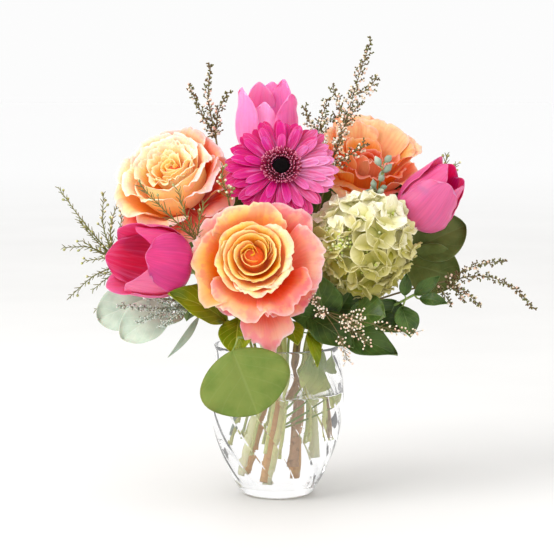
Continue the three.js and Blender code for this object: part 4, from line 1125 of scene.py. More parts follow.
@dataclass
class Rose:
    """A garden rose: petals placed one by one from a rolled heart to an open skirt, on a hip with sepals."""

    name: str
    stand: Stand
    stem: Stem
    finish: PetalFinish
    slot: str
    petals: tuple[RosePetal, ...]
    heart: Point = (0.0, 0.0, 0.0)  # how far the inmost petals stand off the bloom's middle

    def bloom(self) -> None:
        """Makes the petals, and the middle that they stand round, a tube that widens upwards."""
        sheaf = Sheaf()
        share = np.linspace(1, 0, 12)
        core = share[:, None] * (np.array(self.heart) + [0, 0, 36])
        sheaf.tube(self.stand.place(core), 6.5 + 4 * share - 7 * share**12, 20, depth=0.0)
        for k, petal in enumerate(self.petals):
            grid, edge = petal.surface()
            grid += np.array(self.heart) * max(0.0, 1 - petal.depth / 0.6)
            tone = petal.pale or 0.8 * ((0.618 * k) % 1)
            sheaf.shells(self.stand.place(grid), 0.5, tone=tone, depth=petal.depth, edge=edge)
        sheaf.piece(f"{self.name}_bloom", self.slot, [self.finish.make()])

    def green(self, finish: Material, leaf: Material) -> None:
        """Makes the stem, the hip and five sepals.

        Args:
            finish: The stem's material.
            leaf: The sepals' material.
        """
        sheaf = Sheaf()
        self.stem.to(self.stand.along(-12.0), 2.3).add(sheaf, knots=0.12, sides=12)
        share = np.linspace(0, 1, 14)
        hip = on_axis(-14 + 13.4 * share)
        swell = 2.3 + 3.4 * step_up(share, 0.0, 0.75) - 0.6 * share**6
        sheaf.tube(self.stand.place(hip), swell, 14, tone=0.7)
        u = np.linspace(1, -1, 7)[None, :]
        v = np.linspace(0, 1, 12)[:, None]
        for k in range(5):
            half = 3.2 * np.sin(np.pi * (0.12 + 0.86 * v)) ** 0.8 + 0.05
            reach = 2.5 + 17.5 * v
            across = u * half
            drop = -1.2 - 8 * v**1.4 + 0.06 * across**2
            grid = swing(reach, across, drop, 2 * np.pi * k / 5)
            sheaf.shells(self.stand.place(grid), 0.6, tone=0.2 * k, coat=1)
        sheaf.piece(f"{self.name}_stem", "rose_stem", [finish, leaf])


# ---- tulips


@dataclass(frozen=True)
class TulipPetal:
    """One tulip petal: where it faces in degrees, its length, its tip's radius and its half width."""

    facing: float
    length: float
    mouth: float
    width: float


@dataclass
class Tulip:
    """A tulip: an inner and an outer whorl of three deep cupped petals, with stamens inside."""

    name: str
    stand: Stand
    stem: Stem
    finish: PetalFinish
    belly: float
    petals: tuple[TulipPetal, ...]  # the inner three first
    rows: int = 32
    columns: int = 23

    def surface(self, petal: TulipPetal, outer: float) -> tuple[Array, Array]:
        """Works out one petal's middle surface.

        A rib bellies out and draws in towards the tip, and is swung round the axis by the half width, a
        sine to a low power that is widest below the middle. A shallow groove runs along the middle, and
        the edge waves a little.

        Args:
            petal: The petal's place and sizes.
            outer: How far it stands outside the inner whorl.

        Returns:
            The grid's points and its nearness to the edge.
        """
        long = petal.length
        rib = Way([
            (3.5, 1), (self.belly * 0.82, long * 0.18), (self.belly, long * 0.48),
            (blend(self.belly, petal.mouth, 0.55), long * 0.78), (petal.mouth, long),
        ])
        u = np.linspace(1, -1, self.columns)[None, :]
        v = (0.5 - 0.5 * np.cos(np.pi * np.linspace(0, 1, self.rows)))[:, None] ** 0.9
        p = rib.at(v * (1 - 0.07 * u * u))
        half = petal.width * np.maximum(np.sin(np.pi * (0.03 + 0.965 * v) ** 0.8), 0.003) ** 0.31
        phase = 0.1 * petal.facing
        groove = 1.1 * np.exp(-((u / 0.16) ** 2)) * np.sin(np.pi * v)
        slow, fast = np.sin(4 * np.pi * v + phase), np.sin(11 * np.pi * v + 2 * phase)
        wave = np.abs(u) ** 2 * v * (1.3 * slow + 0.5 * fast)
        radius = p[..., 0] + outer - groove + wave + 0.5 * np.sin(3 * u + 5 * v + phase) * v
        angle = math.radians(petal.facing) + u * np.minimum(half / (p[..., 0] + outer), 1.15)
        grid = np.stack([radius * np.cos(angle), radius * np.sin(angle), p[..., 1] + 0 * u], -1)
        return grid, np.maximum(np.abs(u) ** 4 * np.ones_like(v), v**8 * np.ones_like(u))

    def bloom(self) -> None:
        """Makes the petals, the core and the stamens."""
        sheaf = Sheaf()
        core = self.stand.place(on_axis(np.linspace(0, 6, 6)))
        sheaf.tube(core, np.linspace(6.2, 2.4, 6), 16, depth=0.0)
        for k, petal in enumerate(self.petals):
            outer = float(k > 2)
            grid, edge = self.surface(petal, 2.2 * outer)
            tone = 0.75 * ((0.37 * k + 0.2) % 1)
            sheaf.shells(self.stand.place(grid), 0.6, tone=tone, depth=outer, edge=edge)
        ring = spokes(2 * np.pi * np.arange(6) / 6)
        roots, tips = ring * 3 + [0, 0, 4], ring * 8 + [0, 0, 24]
        stamen = [(0, 0.7), (0.55, 0.7), (0.6, 1.6), (0.9, 1.7), (1, 0.7)]
        sheaf.turned(self.stand.place(roots), self.stand.place(tips), stamen, 6, coat=1)
        pistil = [(0, 2.2), (0.8, 2.0), (0.9, 3.4), (1, 2.2)]
        sheaf.turned(self.stand.along(3)[None], self.stand.along(24)[None], pistil, 8, coat=1)
        sheaf.piece(f"{self.name}_bloom", "tulip_petal", [self.finish.make(), HYDRANGEA_EYE.make()])

    def green(self, finish: Material) -> None:
        """Makes the stem, up to its seat under the petals.

        Args:
            finish: The stem's material.
        """
        sheaf = Sheaf()
        self.stem.to(self.stand.along(-9), 3.0).add(sheaf, sides=12, end=self.stand.along(-0.6))
        sheaf.piece(f"{self.name}_stem", "tulip_stem", [finish])


# ---- gerbera


@dataclass(frozen=True)
class RayRing:
    """One ring of ray petals: how many, how far the tips reach, width, height of the root and rise."""

    count: int
    reach: float
    width: float
    height: float
    rise: float


@dataclass
class Gerbera:
    """A gerbera: rings of long ray petals on a disc, short florets round a dark eye, and a cup below."""

    stand: Stand
    stem: Stem
    disc: float = 12.0
    top: float = 6.4
    eye: float = 7.2
    rings: tuple[RayRing, ...] = (
        RayRing(17, 46, 10.5, 1.4, 1), RayRing(17, 45, 10, 2.2, 2.0), RayRing(16, 43.5, 9.6, 3.0, 3.0),
        RayRing(14, 40, 8.6, 3.8, 3.8), RayRing(9, 31, 7.0, 4.6, 4.2),
    )
    ray_seed: int = 7
    floret_seed: int = 3

    def rays(self) -> None:
        """Makes the ray petals.

        A petal's half width goes as a sine that is widest past its middle and rounds off at the tip. Two
        lengthwise folds raise its middle and sides, and the petal rises from the disc and bends down.
        """
        sheaf = Sheaf()
        plate = self.stand.place(on_axis(np.linspace(0, self.top, 6)))
        sheaf.tube(plate, np.array([9, 11.4, 12, 12, 11.8, 11]), 32, depth=0.0)
        draw = np.random.default_rng(self.ray_seed)
        u = np.linspace(1, -1, 7)[None, None, :]
        v = (1 - (1 - np.linspace(0, 1, 15)) ** 1.4)[None, :, None]
        for layer, ring in enumerate(self.rings):
            k = np.arange(ring.count)[:, None, None]
            chance = draw.random((4, ring.count, 1, 1)) - 0.5
            facing = 2 * np.pi * (k + 0.5 * layer + 0.13 * (layer > 2)) / ring.count + 0.16 * chance[0]
            tip = ring.reach * (0.97 + 0.12 * chance[1])
            body = 0.42 + 0.58 * np.sin(np.pi * (0.02 + 0.62 * v)) ** 0.9
            half = ring.width / 2 * body * np.sqrt(np.clip(1 - v**8, 0.02, 1))
            run = blend(self.disc - 2, tip, v) - 0.8 * u * u * v
            side = u * half + 2.4 * chance[2] * v * v
            fold = 0.5 * np.cos(2.2 * np.pi * u) * np.sin(np.pi * np.clip(v, 0, 0.9))
            lift = ring.height + ring.rise * v - 2.2 * v * v + fold
            lift = lift + 2.2 * chance[3] * v * v + 0.5 * u * u * v
            grids = self.stand.place(swing(run, side, lift, facing))
            # Painted light: rays facing the bloom's right get a higher tone, which the finish turns paler,
            # less deep, more streaked and wider-rimmed; a random share is added.
            lit = 0.1 + 0.75 * np.clip(np.cos(facing.ravel()), 0, 1) ** 2 + 0.25 * draw.random(ring.count)
            sheaf.shells(grids, 0.5, tone=np.clip(lit, 0, 1), depth=1 - layer / 4)
        sheaf.piece("gerbera_rays", "gerbera_petal", [GERBERA_PETAL.make()])

    def florets(self) -> None:
        """Makes the low collar and circles of fine florets round the eye."""
        low = self.top + 0.4
        sheaf = Sheaf()
        angle = 2 * np.pi * np.arange(48) / 48
        profile = np.array([(7.7, low), (12, low), (11.6, low + 1.8), (9.4, low + 2.8), (7.7, low + 1.6)])
        ring = np.stack([profile[:, :1] * np.cos(angle), profile[:, :1] * np.sin(angle),
                         profile[:, 1:] + 0 * angle], -1)
        ids = np.arange(ring[..., 0].size).reshape(ring.shape[:2])
        after, above = np.roll(ids, -1, axis=1), np.roll(ids, -1, axis=0)
        quads = np.stack([ids, after, np.roll(above, -1, axis=1), above], -1)
        blank = np.zeros(ring.shape)
        sheaf.take(self.stand.place(ring), blank, blank, [(quads, True)])
        draw = np.random.default_rng(self.floret_seed)
        circles = (
            (7.8, 44, 3.6, -0.1), (8.6, 50, 4.6, 0.3), (9.6, 56, 5.4, 0.8), (10.6, 60, 5.6, 1.3),
            (11.6, 62, 5.0, 1.9),
        )
        filament = [(0, 0.4), (0.55, 0.28), (0.8, 0.5), (0.92, 0.42), (1, 0.14)]
        for radius, count, length, lean in circles:
            out = spokes(2 * np.pi * (np.arange(count) + draw.random(count) * 0.6) / count)
            roots = out * radius + [0, 0, low + 1.2]
            reach = length * (0.8 + 0.4 * draw.random(count))[:, None]
            tips = roots + reach * unit(out * (lean + 0.3 * draw.random(count))[:, None] + [0, 0, 1])
            roots, tips = self.stand.place(roots), self.stand.place(tips)
            sheaf.turned(roots, tips, filament, 4, tone=draw.random(count))
        sheaf.piece("gerbera_floret_ring", "gerbera_florets", [GERBERA_FLORETS.make()])

    def centre(self) -> None:
        """Makes the dark eye: a low dome set with short tips in a golden angle spiral."""
        low = self.top + 0.4
        sheaf = Sheaf()
        share = np.linspace(0, 1, 10)
        edge = self.eye - 0.2
        spine = on_axis(low + 0.9 * share + 3 * np.sin(share * np.pi / 2) - 0.4)
        sheaf.tube(self.stand.place(spine), edge * np.sqrt(1 - 0.98 * share**2), 28)
        k = np.arange(150)
        radius = edge * np.sqrt((k + 0.5) / len(k))
        out = spokes(k * GOLDEN_ANGLE)
        height = low + 0.4 + 3 * np.sqrt(np.clip(1 - (radius / edge) ** 2, 0, 1))
        roots = out * radius[:, None] + on_axis(height - 0.6)
        tips = roots + 1.3 * unit(out * (0.5 * radius / edge)[:, None] + [0, 0, 1])
        bristle = [(0, 0.5), (0.7, 0.42), (1, 0.15)]
        sheaf.turned(self.stand.place(roots), self.stand.place(tips), bristle, 5, tone=(k * 0.37) % 1)
        sheaf.piece("gerbera_eye", "gerbera_eye", [GERBERA_EYE.make()])

    def green(self) -> None:
        """Makes the stem and the scaled cup under the petals."""
        sheaf = Sheaf()
        self.stem.to(self.stand.along(-6), 2.3).add(sheaf, sides=12)
        share = np.linspace(0, 1, 10)
        cup = self.stand.place(on_axis(-8 + 7.5 * share))
        sheaf.tube(cup, 2.4 + 7.1 * np.sin(share * np.pi / 2) ** 1.2, 20)
        k = np.arange(40)
        out = spokes(k * GOLDEN_ANGLE)
        share = (k + 0.5) / len(k)
        roots = out * (2.6 + 5.6 * share)[:, None] + on_axis(-7.5 + 5 * share)
        tips = roots + 4.2 * unit(out * 0.7 + [0, 0, 0.75])
        scale = [(0, 0.8), (0.4, 1.1), (1, 0.1)]
        sheaf.turned(self.stand.place(roots), self.stand.place(tips), scale, 5, tone=(k * 0.31) % 1)
        sheaf.piece("gerbera_stem", "gerbera_stem", [GERBERA_STEM.make()])


# ---- hydrangea


@dataclass
class Hydrangea:
    """A round head of four-petalled florets on a woody stem."""

    stand: Stand
    stem: Stem
    core: float = 33.0
    head: float = 39.0
    florets: int = 92
    floret: float = 12.0
    unopened: int = 46
    reach: float = 1.76  # share of the ball's height, of two, that the florets cover
    seed: int = 12

    def bloom(self) -> None:
        """Makes the head.

        The florets stand on the ball by the golden angle. A petal is a rounded square on a grid: its half
        width goes as a sine to a low power, it cups across its width and its tip lifts or droops by chance.
        """
        sheaf = Sheaf()
        draw = np.random.default_rng(self.seed)
        k = np.arange(self.florets)
        height = 1 - self.reach * (k + 0.5) / self.florets
        out = spokes(k * GOLDEN_ANGLE) * np.sqrt(1 - height * height)[:, None] + on_axis(height)
        tilt = unit(out + 0.75 * (draw.random(out.shape) - 0.5))
        lump = np.sin(3.1 * out[:, 0] + 1.0) + np.sin(3.7 * out[:, 1] + 0.4)
        level = self.head - 7.0 + 5.5 * draw.random(self.florets) + 1.2 * lump
        # Florets facing down get a greater depth, which the finish turns darker olive, and those facing up
        # stay pale cream: partly the head's own colour, partly painted shade.
        up = out @ turns_to(np.array(self.stand.axis))[2]
        low = np.clip(0.66 - 0.8 * up + 0.8 * (draw.random(self.florets) - 0.5), 0, 1)
        size = self.floret * (0.82 + 0.36 * draw.random(self.florets))
        spin = k * 1.3
        u = np.linspace(1, -1, 7)[None, None, None, :]
        v = np.linspace(0, 1, 8)[None, None, :, None]
        wide = size[:, None, None, None]
        petal = np.arange(4)[None, :, None, None]
        chance = draw.random((2, self.florets, 4, 1, 1)) - 0.5
        half = 0.7 * wide * np.sin(np.pi * (0.1 + 0.8 * v**0.8)) ** 0.5
        run = 0.6 + wide * v * (1 - 0.1 * u * u)
        side = u * half
        ripple = 0.35 * np.sin(9 * u + 6 * v + 20 * chance[0]) * v
        lift = 0.1 * petal + 2.2 * v * v + 6 * chance[0] * v * v + 2.2 * u * u * v
        lift = lift + 2.5 * chance[1] * u * v + ripple
        facing = spin[:, None, None, None] + np.pi / 2 * petal
        own = swing(run, side, lift, facing)
        level = level[:, None]
        placed = np.einsum("kij,kprcj->kprci", turns_to(tilt), own) + (out * level)[:, None, None, None]
        grids = self.stand.place(placed.reshape(-1, 8, 7, 3))
        sheaf.shells(grids, 0.45, tone=draw.random(len(grids)), depth=np.repeat(low, 4))
        bead = [(0, 0.7), (0.35, 1.25), (0.8, 1.1), (1, 0.4)]
        sheaf.turned(self.stand.place(out * (level - 0.4)), self.stand.place(out * (level + 2.2)),
                     bead, 6, tone=draw.random(self.florets), coat=1)
        shut = unit(np.array([-0.62, -0.62, 0.48]) + 0.42 * (draw.random((self.unopened, 3)) - 0.5))
        reach = self.head - 3 + 4 * draw.random((self.unopened, 1))
        sheaf.turned(self.stand.place(shut * (reach - 2.4)), self.stand.place(shut * reach),
                     bead, 6, tone=draw.random(self.unopened), coat=1)
        stalks = self.stand.place(out * 12.0)
        sheaf.turned(stalks, self.stand.place(out * level), [(0, 0.9), (1, 0.6)], 5, coat=1)
        share = np.linspace(0.02, 0.98, 14)
        ball = self.stand.place(on_axis((self.core - 5) * -np.cos(np.pi * share)))
        sheaf.tube(ball, (self.core - 5) * np.sin(np.pi * share), 24, tone=0.1, coat=2)
        sheaf.piece("hydrangea_head", "hydrangea_petal",
                    [HYDRANGEA_PETAL.make(), HYDRANGEA_EYE.make(), LEAF_STEM.make()])

    def green(self) -> None:
        """Makes the woody stem."""
        sheaf = Sheaf()
        self.stem.to(self.stand.along(-self.core + 4), 3.0).add(sheaf, sides=14, knots=0.22)
        sheaf.piece("hydrangea_stem", "hydrangea_stem", [WOODY_STEM.make()])


# ---- leafy stems


class Shape(Enum):
    """Outlines of leaves: the power and the shift of the sine that gives the half width."""

    ROUND = (0.55, 1.0)
    OVAL = (0.8, 0.9)
    LONG = (0.9, 0.8)

    def half(self, along: Array) -> Array:
        """Finds the half width as a share of the widest, for shares along the leaf."""
        power, lean = self.value
        return np.maximum(np.sin(np.pi * np.clip(along, 0, 1) ** lean), 0.0) ** power


@dataclass(frozen=True)
class Leaf:
    """One leaf: base and tip, width, the way its face looks, and where its stalk leaves the stem."""

    base: Point
    tip: Point
    width: float
    face: Point
    shape: Shape
    start: float = 1.0  # share of the free way
    height: float | None = None  # or a height in the vase
    bend: float = 0.1
    cup: float = 0.12
    wave: float = 0.0
    coat: int = 0  # 1 for a leaf that wears the stem's finish, pale low down and with its painted glow, as the leaves in the vase do
    rows: int = 26  # grid points along it
    columns: int = 17  # and across

    def surface(self) -> tuple[Array, Array]:
        """Works out the middle surface.

        From the straight line between base and tip, the leaf arches by a sine, cups with the square of the
        place across, waves with an odd sine and folds in a narrow crease along its midrib.

        Returns:
            The grid's points and its nearness to the edge.
        """
        base, along = np.array(self.base, float), np.array(self.tip, float) - self.base
        side = unit(np.cross(along, self.face))
        up = unit(np.cross(side, along))
        u = np.linspace(-1, 1, self.columns)[None, :]
        v = (0.5 - 0.5 * np.cos(np.pi * np.linspace(0, 1, self.rows)))[:, None]
        arch = self.bend * np.linalg.norm(along) * np.sin(np.pi * v)
        crease = 0.035 * self.width * np.exp(-((u / 0.14) ** 2)) * np.sin(np.pi * v) ** 0.5
        flutter = 0.018 * self.width * u * u * np.sin(6 * np.pi * v + self.width)
        lift = arch + self.cup * self.width * u * u + self.wave * u * np.sin(3 * np.pi * v) - crease + flutter
        half = self.width / 2 * np.maximum(self.shape.half(v), 0.025)
        grid = base + along * v[..., None] + side * (u * half)[..., None] + up * lift[..., None]
        return grid, np.maximum(np.abs(u) ** 8 * np.ones_like(v), np.abs(2 * v - 1) ** 14 * np.ones_like(u))


@dataclass
class LeafyStem:
    """A stem whose leaves each stand on a short stalk."""

    name: str
    stem: Stem
    finish: LeafFinish
    leaves: tuple[Leaf, ...]

    def build(self, bark: Material) -> None:
        """Makes the stem, stalks and leaves.

        Args:
            bark: The stem's material.
        """
        sheaf = Sheaf()
        self.stem.add(sheaf, coat=1, sides=8, knots=0.15)
        free = self.stem.free()
        for k, leaf in enumerate(self.leaves):
            grid, edge = leaf.surface()
            sheaf.shells(grid, 0.6, tone=(0.41 * k + 0.3) % 1, edge=edge, coat=leaf.coat)
            root = BUNDLE.at(self.stem.slot, leaf.height) if leaf.height else free.at(leaf.start)
            joint = grid[1, grid.shape[1] // 2]
            stalk = Way([root, blend(root, joint, 0.5) + [0, 0, -1.0], joint])
            sheaf.tube(stalk.at(np.linspace(0, 1, 10)), np.linspace(0.9, 0.5, 10), 7, coat=1, grown=0.6)
        sheaf.piece(self.name, self.finish.slot, [self.finish.make(), bark])


# ---- sprays


class Growth(Enum):
    """What grows on a spray's twigs, and the record's material slot of such a spray."""

    NEEDLES = ("needles", "waxflower_needles")
    SEEDS = ("seeds", "heather_twig")
    HEATHER = ("heather", "heather_twig")
    BERRIES = ("berries", "heather_buds")
    PODS = ("pods", "eucalyptus_pale")


@dataclass
class Spray:
    """A fine spray: a stem, its twigs, and needles, buds, berries or pods along them."""

    name: str
    stem: Stem
    growth: Growth
    twigs: tuple
    seed: int
    length: float = 5.0
    lean: float = 1.0
    buds: float = 0.25  # share of the places that carry a pale bud or flower
    twig: float = 0.7  # radius of a twig at its root

    def __post_init__(self) -> None:
        """Starts the mesh, and the chances that its sizes and tones are drawn by."""
        self.sheaf, self.chance = Sheaf(), np.random.default_rng(self.seed).random

    def needles(self, way: Way) -> None:
        """Sets fine needles round a twig by the golden angle, with pale buds at some.

        Args:
            way: The twig's way.
        """
        count = max(4, int(way.length / 1.6))
        at = (np.arange(count) + 0.6) / count
        roots, heading = way.at(at), way.heading(at)
        reach = self.length * (0.65 + 0.5 * self.chance(count))[:, None] * (1 - 0.45 * at[:, None])
        tips = roots + reach * unit(around(heading) + self.lean * heading)
        blade = [(0, 0.28), (0.4, 0.36), (0.85, 0.26), (1, 0.06)]
        self.sheaf.turned(roots, tips, blade, 4, tone=self.chance(count), grown=0.45)
        chosen = self.chance(count) < self.buds
        ends, ways = tips[chosen], unit(tips[chosen] - roots[chosen])
        bud = [(0, 0.5), (0.4, 1.15), (0.8, 0.95), (1, 0.3)]
        if len(ends):
            tone = self.chance(len(ends))
            self.sheaf.turned(ends - 0.6 * ways, ends + 2 * ways, bud, 6, tone=tone, coat=1)

    def heather(self, way: Way) -> None:
        """Sets short side twigs round a twig, with brown-green buds on them and pale flowers low down.

        Args:
            way: The twig's way.
        """
        count = max(6, int(way.length / 1.7))
        at = (np.arange(count) + 0.5) / count
        roots, heading = way.at(at), way.heading(at)
        out = around(heading, self.chance(count))
        reach = self.length * (0.4 + 0.8 * self.chance(count))[:, None] * (1 - 0.55 * at[:, None])
        tips = roots + reach * unit(out + self.lean * heading)
        self.sheaf.turned(roots, tips, [(0, 0.35), (1, 0.25)], 4, tone=self.chance(count), grown=0.6)
        share = np.array([0.4, 0.6, 0.8, 1.0])
        places = (roots[:, None] + (tips - roots)[:, None] * share[None, :, None]).reshape(-1, 3)
        ways = np.repeat(unit(tips - roots), len(share), axis=0)
        size = 1.5 + 0.9 * self.chance(len(places))[:, None]
        ends = places + size * unit(around(ways) + 0.8 * ways)
        open_now = self.chance(len(places)) < self.buds * (1.2 - np.repeat(at, len(share)))
        bud = [(0, 0.25), (0.4, 0.7), (0.75, 0.6), (1, 0.15)]
        bell = [(0, 0.3), (0.3, 1.0), (0.6, 1.25), (0.85, 0.9), (1, 0.3)]
        for chosen, outline, coat in ((~open_now, bud, 1), (open_now, bell, 2)):
            tone = self.chance(int(chosen.sum()))
            self.sheaf.turned(places[chosen], ends[chosen], outline, 5, tone=tone, coat=coat)

    def berries(self, way: Way) -> None:
        """Sets round beads on hair stalks in a head on the outer half of a twig.

        Args:
            way: The twig's way.
        """
        count = 30
        at = 1 - 0.5 * (np.arange(count) + 0.5) / count
        roots, heading = way.at(at), way.heading(at)
        out = around(heading, self.chance(count))
        reach = self.length * (0.5 + 0.8 * self.chance(count))[:, None]
        tips = roots + reach * unit(out + self.lean * heading)
        self.sheaf.turned(roots, tips, [(0, 0.2), (1, 0.2)], 4, tone=self.chance(count), grown=0.6)
        ways = unit(tips - roots)
        bead = [(0.02, 0.35), (0.25, 0.85), (0.5, 1.0), (0.75, 0.85), (0.98, 0.3)]
        girth = 0.6 + 0.35 * self.chance(count)
        self.sheaf.turned(tips - 0.3 * ways, tips + 1.4 * ways, bead, 6, girth, self.chance(count), coat=1)

    def pods(self, way: Way) -> None:
        """Sets capped pods on short stalks along a twig.

        Args:
            way: The twig's way.
        """
        count = max(4, int(way.length / 4.5))
        at = (np.arange(count) + 0.7) / count
        roots, heading = way.at(at), way.heading(at)
        out = around(heading, self.chance(count))
        ways = unit(out + self.lean * heading)
        necks = roots + 3.0 * ways
        self.sheaf.turned(roots, necks + 0.5 * ways, [(0, 0.6), (1, 0.8)], 6)
        pod = [(0, 0.8), (0.2, 2.0), (0.45, 2.6), (0.62, 2.5), (0.66, 2.1), (0.85, 1.3), (1, 0.35)]
        girth = 0.8 + 0.3 * self.chance(count)
        self.sheaf.turned(necks, necks + self.length * ways, pod, 10, girth, self.chance(count), coat=1)

    def build(self, finishes: list[Material]) -> None:
        """Makes the spray.

        Args:
            finishes: The materials of the twigs, of what grows on them and of the flowers.
        """
        self.stem.add(self.sheaf, sides=7, knots=0.1)
        free = self.stem.free()
        grow = {Growth.NEEDLES: self.needles, Growth.HEATHER: self.heather, Growth.SEEDS: self.heather,
                Growth.BERRIES: self.berries, Growth.PODS: self.pods}[self.growth]
        for first, *rest in self.twigs:
            root = free.at(first) if isinstance(first, (int, float)) else np.array(first)
            way = Way([root, *rest])
            share = np.linspace(0, 1, 22)
            self.sheaf.tube(way.at(share), self.twig * (1 - 0.6 * share), 6, tone=self.chance(), grown=0.55)
            grow(way)
        self.sheaf.piece(self.name, self.growth.value[1], finishes)


# ---- the studio


@dataclass(frozen=True)
class Lamp:
    """One soft area light: where it stands, its size in metres and its power in watts."""

    name: str
    stand: Point
    size: float
    power: float


@dataclass
class Studio:
    """A pale floor, a bright even room, soft lights and the camera at the photograph's angle."""

    floor_reach: float = 30.0
    room: float = 0.975
    aim: Point = (0.0, 0.0, 0.19)
    lamps: tuple[Lamp, ...] = (
        Lamp("window", (-1.5, -1.1, 1.5), 1.3, 30.0),
        Lamp("fill", (1.4, -1.6, 0.9), 1.6, 5.0),
    )
    camera_place: Point = (0.0, -1.5, 0.332)
    camera_drop: float = 5.93  # degrees below level
    lens: float = 121.8

    def build(self) -> None:
        """Makes the floor, room, lights and camera."""
        scene = bpy.context.scene
        scene.view_settings.view_transform = "Standard"
        world = bpy.data.worlds.new("room")
        world.use_nodes = True
        world.node_tree.nodes["Background"].inputs["Color"].default_value = (1.0, 1.0, 1.0, 1.0)
        world.node_tree.nodes["Background"].inputs["Strength"].default_value = self.room
        scene.world = world
        self.floor()
        for lamp in self.lamps:
            light = bpy.data.lights.new(lamp.name, "AREA")
            light.energy, light.size = lamp.power, lamp.size
            holder = bpy.data.objects.new(lamp.name, light)
            holder.location = lamp.stand
            toward = np.array(self.aim) - lamp.stand
            holder.rotation_euler = Vector(toward.tolist()).to_track_quat("-Z", "Y").to_euler()
            scene.collection.objects.link(holder)
        camera = bpy.data.cameras.new("front_view")
        camera.lens, camera.sensor_width = self.lens, 36.0
        holder = bpy.data.objects.new("front_view", camera)
        holder.location = self.camera_place
        holder.rotation_euler = (math.radians(90 - self.camera_drop), 0.0, 0.0)
        scene.collection.objects.link(holder)
        scene.camera = holder

    def floor(self) -> None:
        """Makes the pale floor, a little uneven in tone, and whiter far off: painted light for the lamps'
        fall-off.
        """
        reach = self.floor_reach
        mesh = bpy.data.meshes.new("floor")
        corners = [(-reach, -reach, 0), (reach, -reach, 0), (reach, reach, 0), (-reach, reach, 0)]
        mesh.from_pydata(corners, [], [(0, 1, 2, 3)])
        bench = Bench("pale_floor")
        distance = bench.node("VectorMath", {0: bench.place()}, operation="LENGTH")
        # Painted light: the floor turns white from 0.8 to 6 metres out, making up for the lamps' light that
        # falls off, so that it meets the bright room without a line.
        far = bench.rise(distance.outputs["Value"], 0.8, 6.0)
        near = bench.ramp(bench.noise(bench.place(), 3.0, 3.0), {0.3: "#edecea", 0.7: "#f2f1ef"})
        bench.put(Base_Color=bench.mix(far, near, "#ffffff"), Roughness=0.6)
        mesh.materials.append(bench.material)
        floor = bpy.data.objects.new("floor", mesh)
        floor.location.z = -0.0002
        bpy.context.scene.collection.objects.link(floor)


# ---- the bouquet


def each(kind: type, *rows: tuple) -> tuple:
    """Makes one thing of a kind from each row of its sizes, in the order of its fields."""
    return tuple(kind(*row) for row in rows)


# A petal's row: facing, span, lip, height, belly, depth, curl, drop, ruffle, pale, point, point_at, shift.
HEART = each(
    RosePetal,
    (20, 125, 3.2, 40.5, 5, 0), (200, 120, 5, 41, 5.5, 0.06, 0.4, 0, 0.2),
    (110, 95, 7.2, 41.5, 6, 0.12, 0.6, 0, 0.3), (250, 90, 9.4, 42, 7, 0.16, 0.8, 0, 0.3),
)

FRONT_PETALS = HEART + each(
    RosePetal,
    (350, 90, 11.4, 42, 8, 0.2, 1, 0, 0.4), (32, 75, 7.6, 42.4, 6, 0.12, 0, 0, 0.3, 0, 0, 0, (7, 4)),
    (38, 74, 9.4, 42.8, 7.5, 0.2, 0, 0, 0.4, 0, 0, 0, (6.5, 4)),
    (33, 72, 11.4, 43.2, 9, 0.24, 0, 0, 0.5, 0, 0, 0, (6, 3.5)), (165, 82, 13, 42.2, 8.5, 0.22, 1.4),
    (262, 84, 15.4, 42, 9.5, 0.26, 1.6, 0.2), (95, 78, 16.2, 42.8, 11, 0.3, 1.6, 0.2),
    (12, 80, 17.6, 43, 12, 0.3, 1.6, 0.2), (212, 78, 19.4, 42.2, 12, 0.32, 2, 0.3),
    (300, 78, 20.2, 42, 13, 0.34, 2, 0.3, 0.8), (140, 72, 21.6, 42.4, 14, 0.4, 2.4, 0.4),
    (58, 66, 22.4, 42.2, 15.5, 0.44, 3, 0.5), (245, 76, 24.4, 41, 15.5, 0.4, 2.6, 0.6, 0.9),
    (196, 62, 27, 40, 18, 0.48, 4, 1.2, 0.9), (124, 56, 27, 39.6, 18, 0.52, 4.5, 1.4, 1),
    (22, 56, 25.5, 41.6, 19, 0.56, 6, 0.6, 1.2, 0.87, 2, 0.3),
    (320, 50, 25, 41, 19, 0.56, 4.5, 0.6, 1.2, 0.87), (268, 50, 26.5, 40.4, 19.5, 0.58, 4, 0.8, 1.2, 0.84),
    (98, 50, 39, 34, 23, 0.66, 8, 1, 2.1, 0, 2, -0.5), (186, 48, 41.5, 34, 24, 0.73, 8, 2, 1.6, 0, 5, 0.68),
    (246, 46, 38, 33, 24, 0.78, 9, 3, 2.2), (310, 40, 38.5, 34, 24, 0.9, 9, 1, 2.2, 0, 3, -0.4),
    (136, 38, 45, 22, 26, 0.9, 9, 3, 2, 0.84), (46, 38, 44, 23, 26, 0.97, 9, 3, 1.8, 0, 7),
    (0, 42, 42.5, 27, 26, 0.92, 10, 2, 1.9, 0.8, 2, 0.1), (277, 24, 48, 14, 26, 0.97, 13, 8, 1.2, 0, 10),
    (222, 38, 38, 16, 25, 1, 7, 4), (318, 34, 40, 14, 25, 1, 10, 5),
)

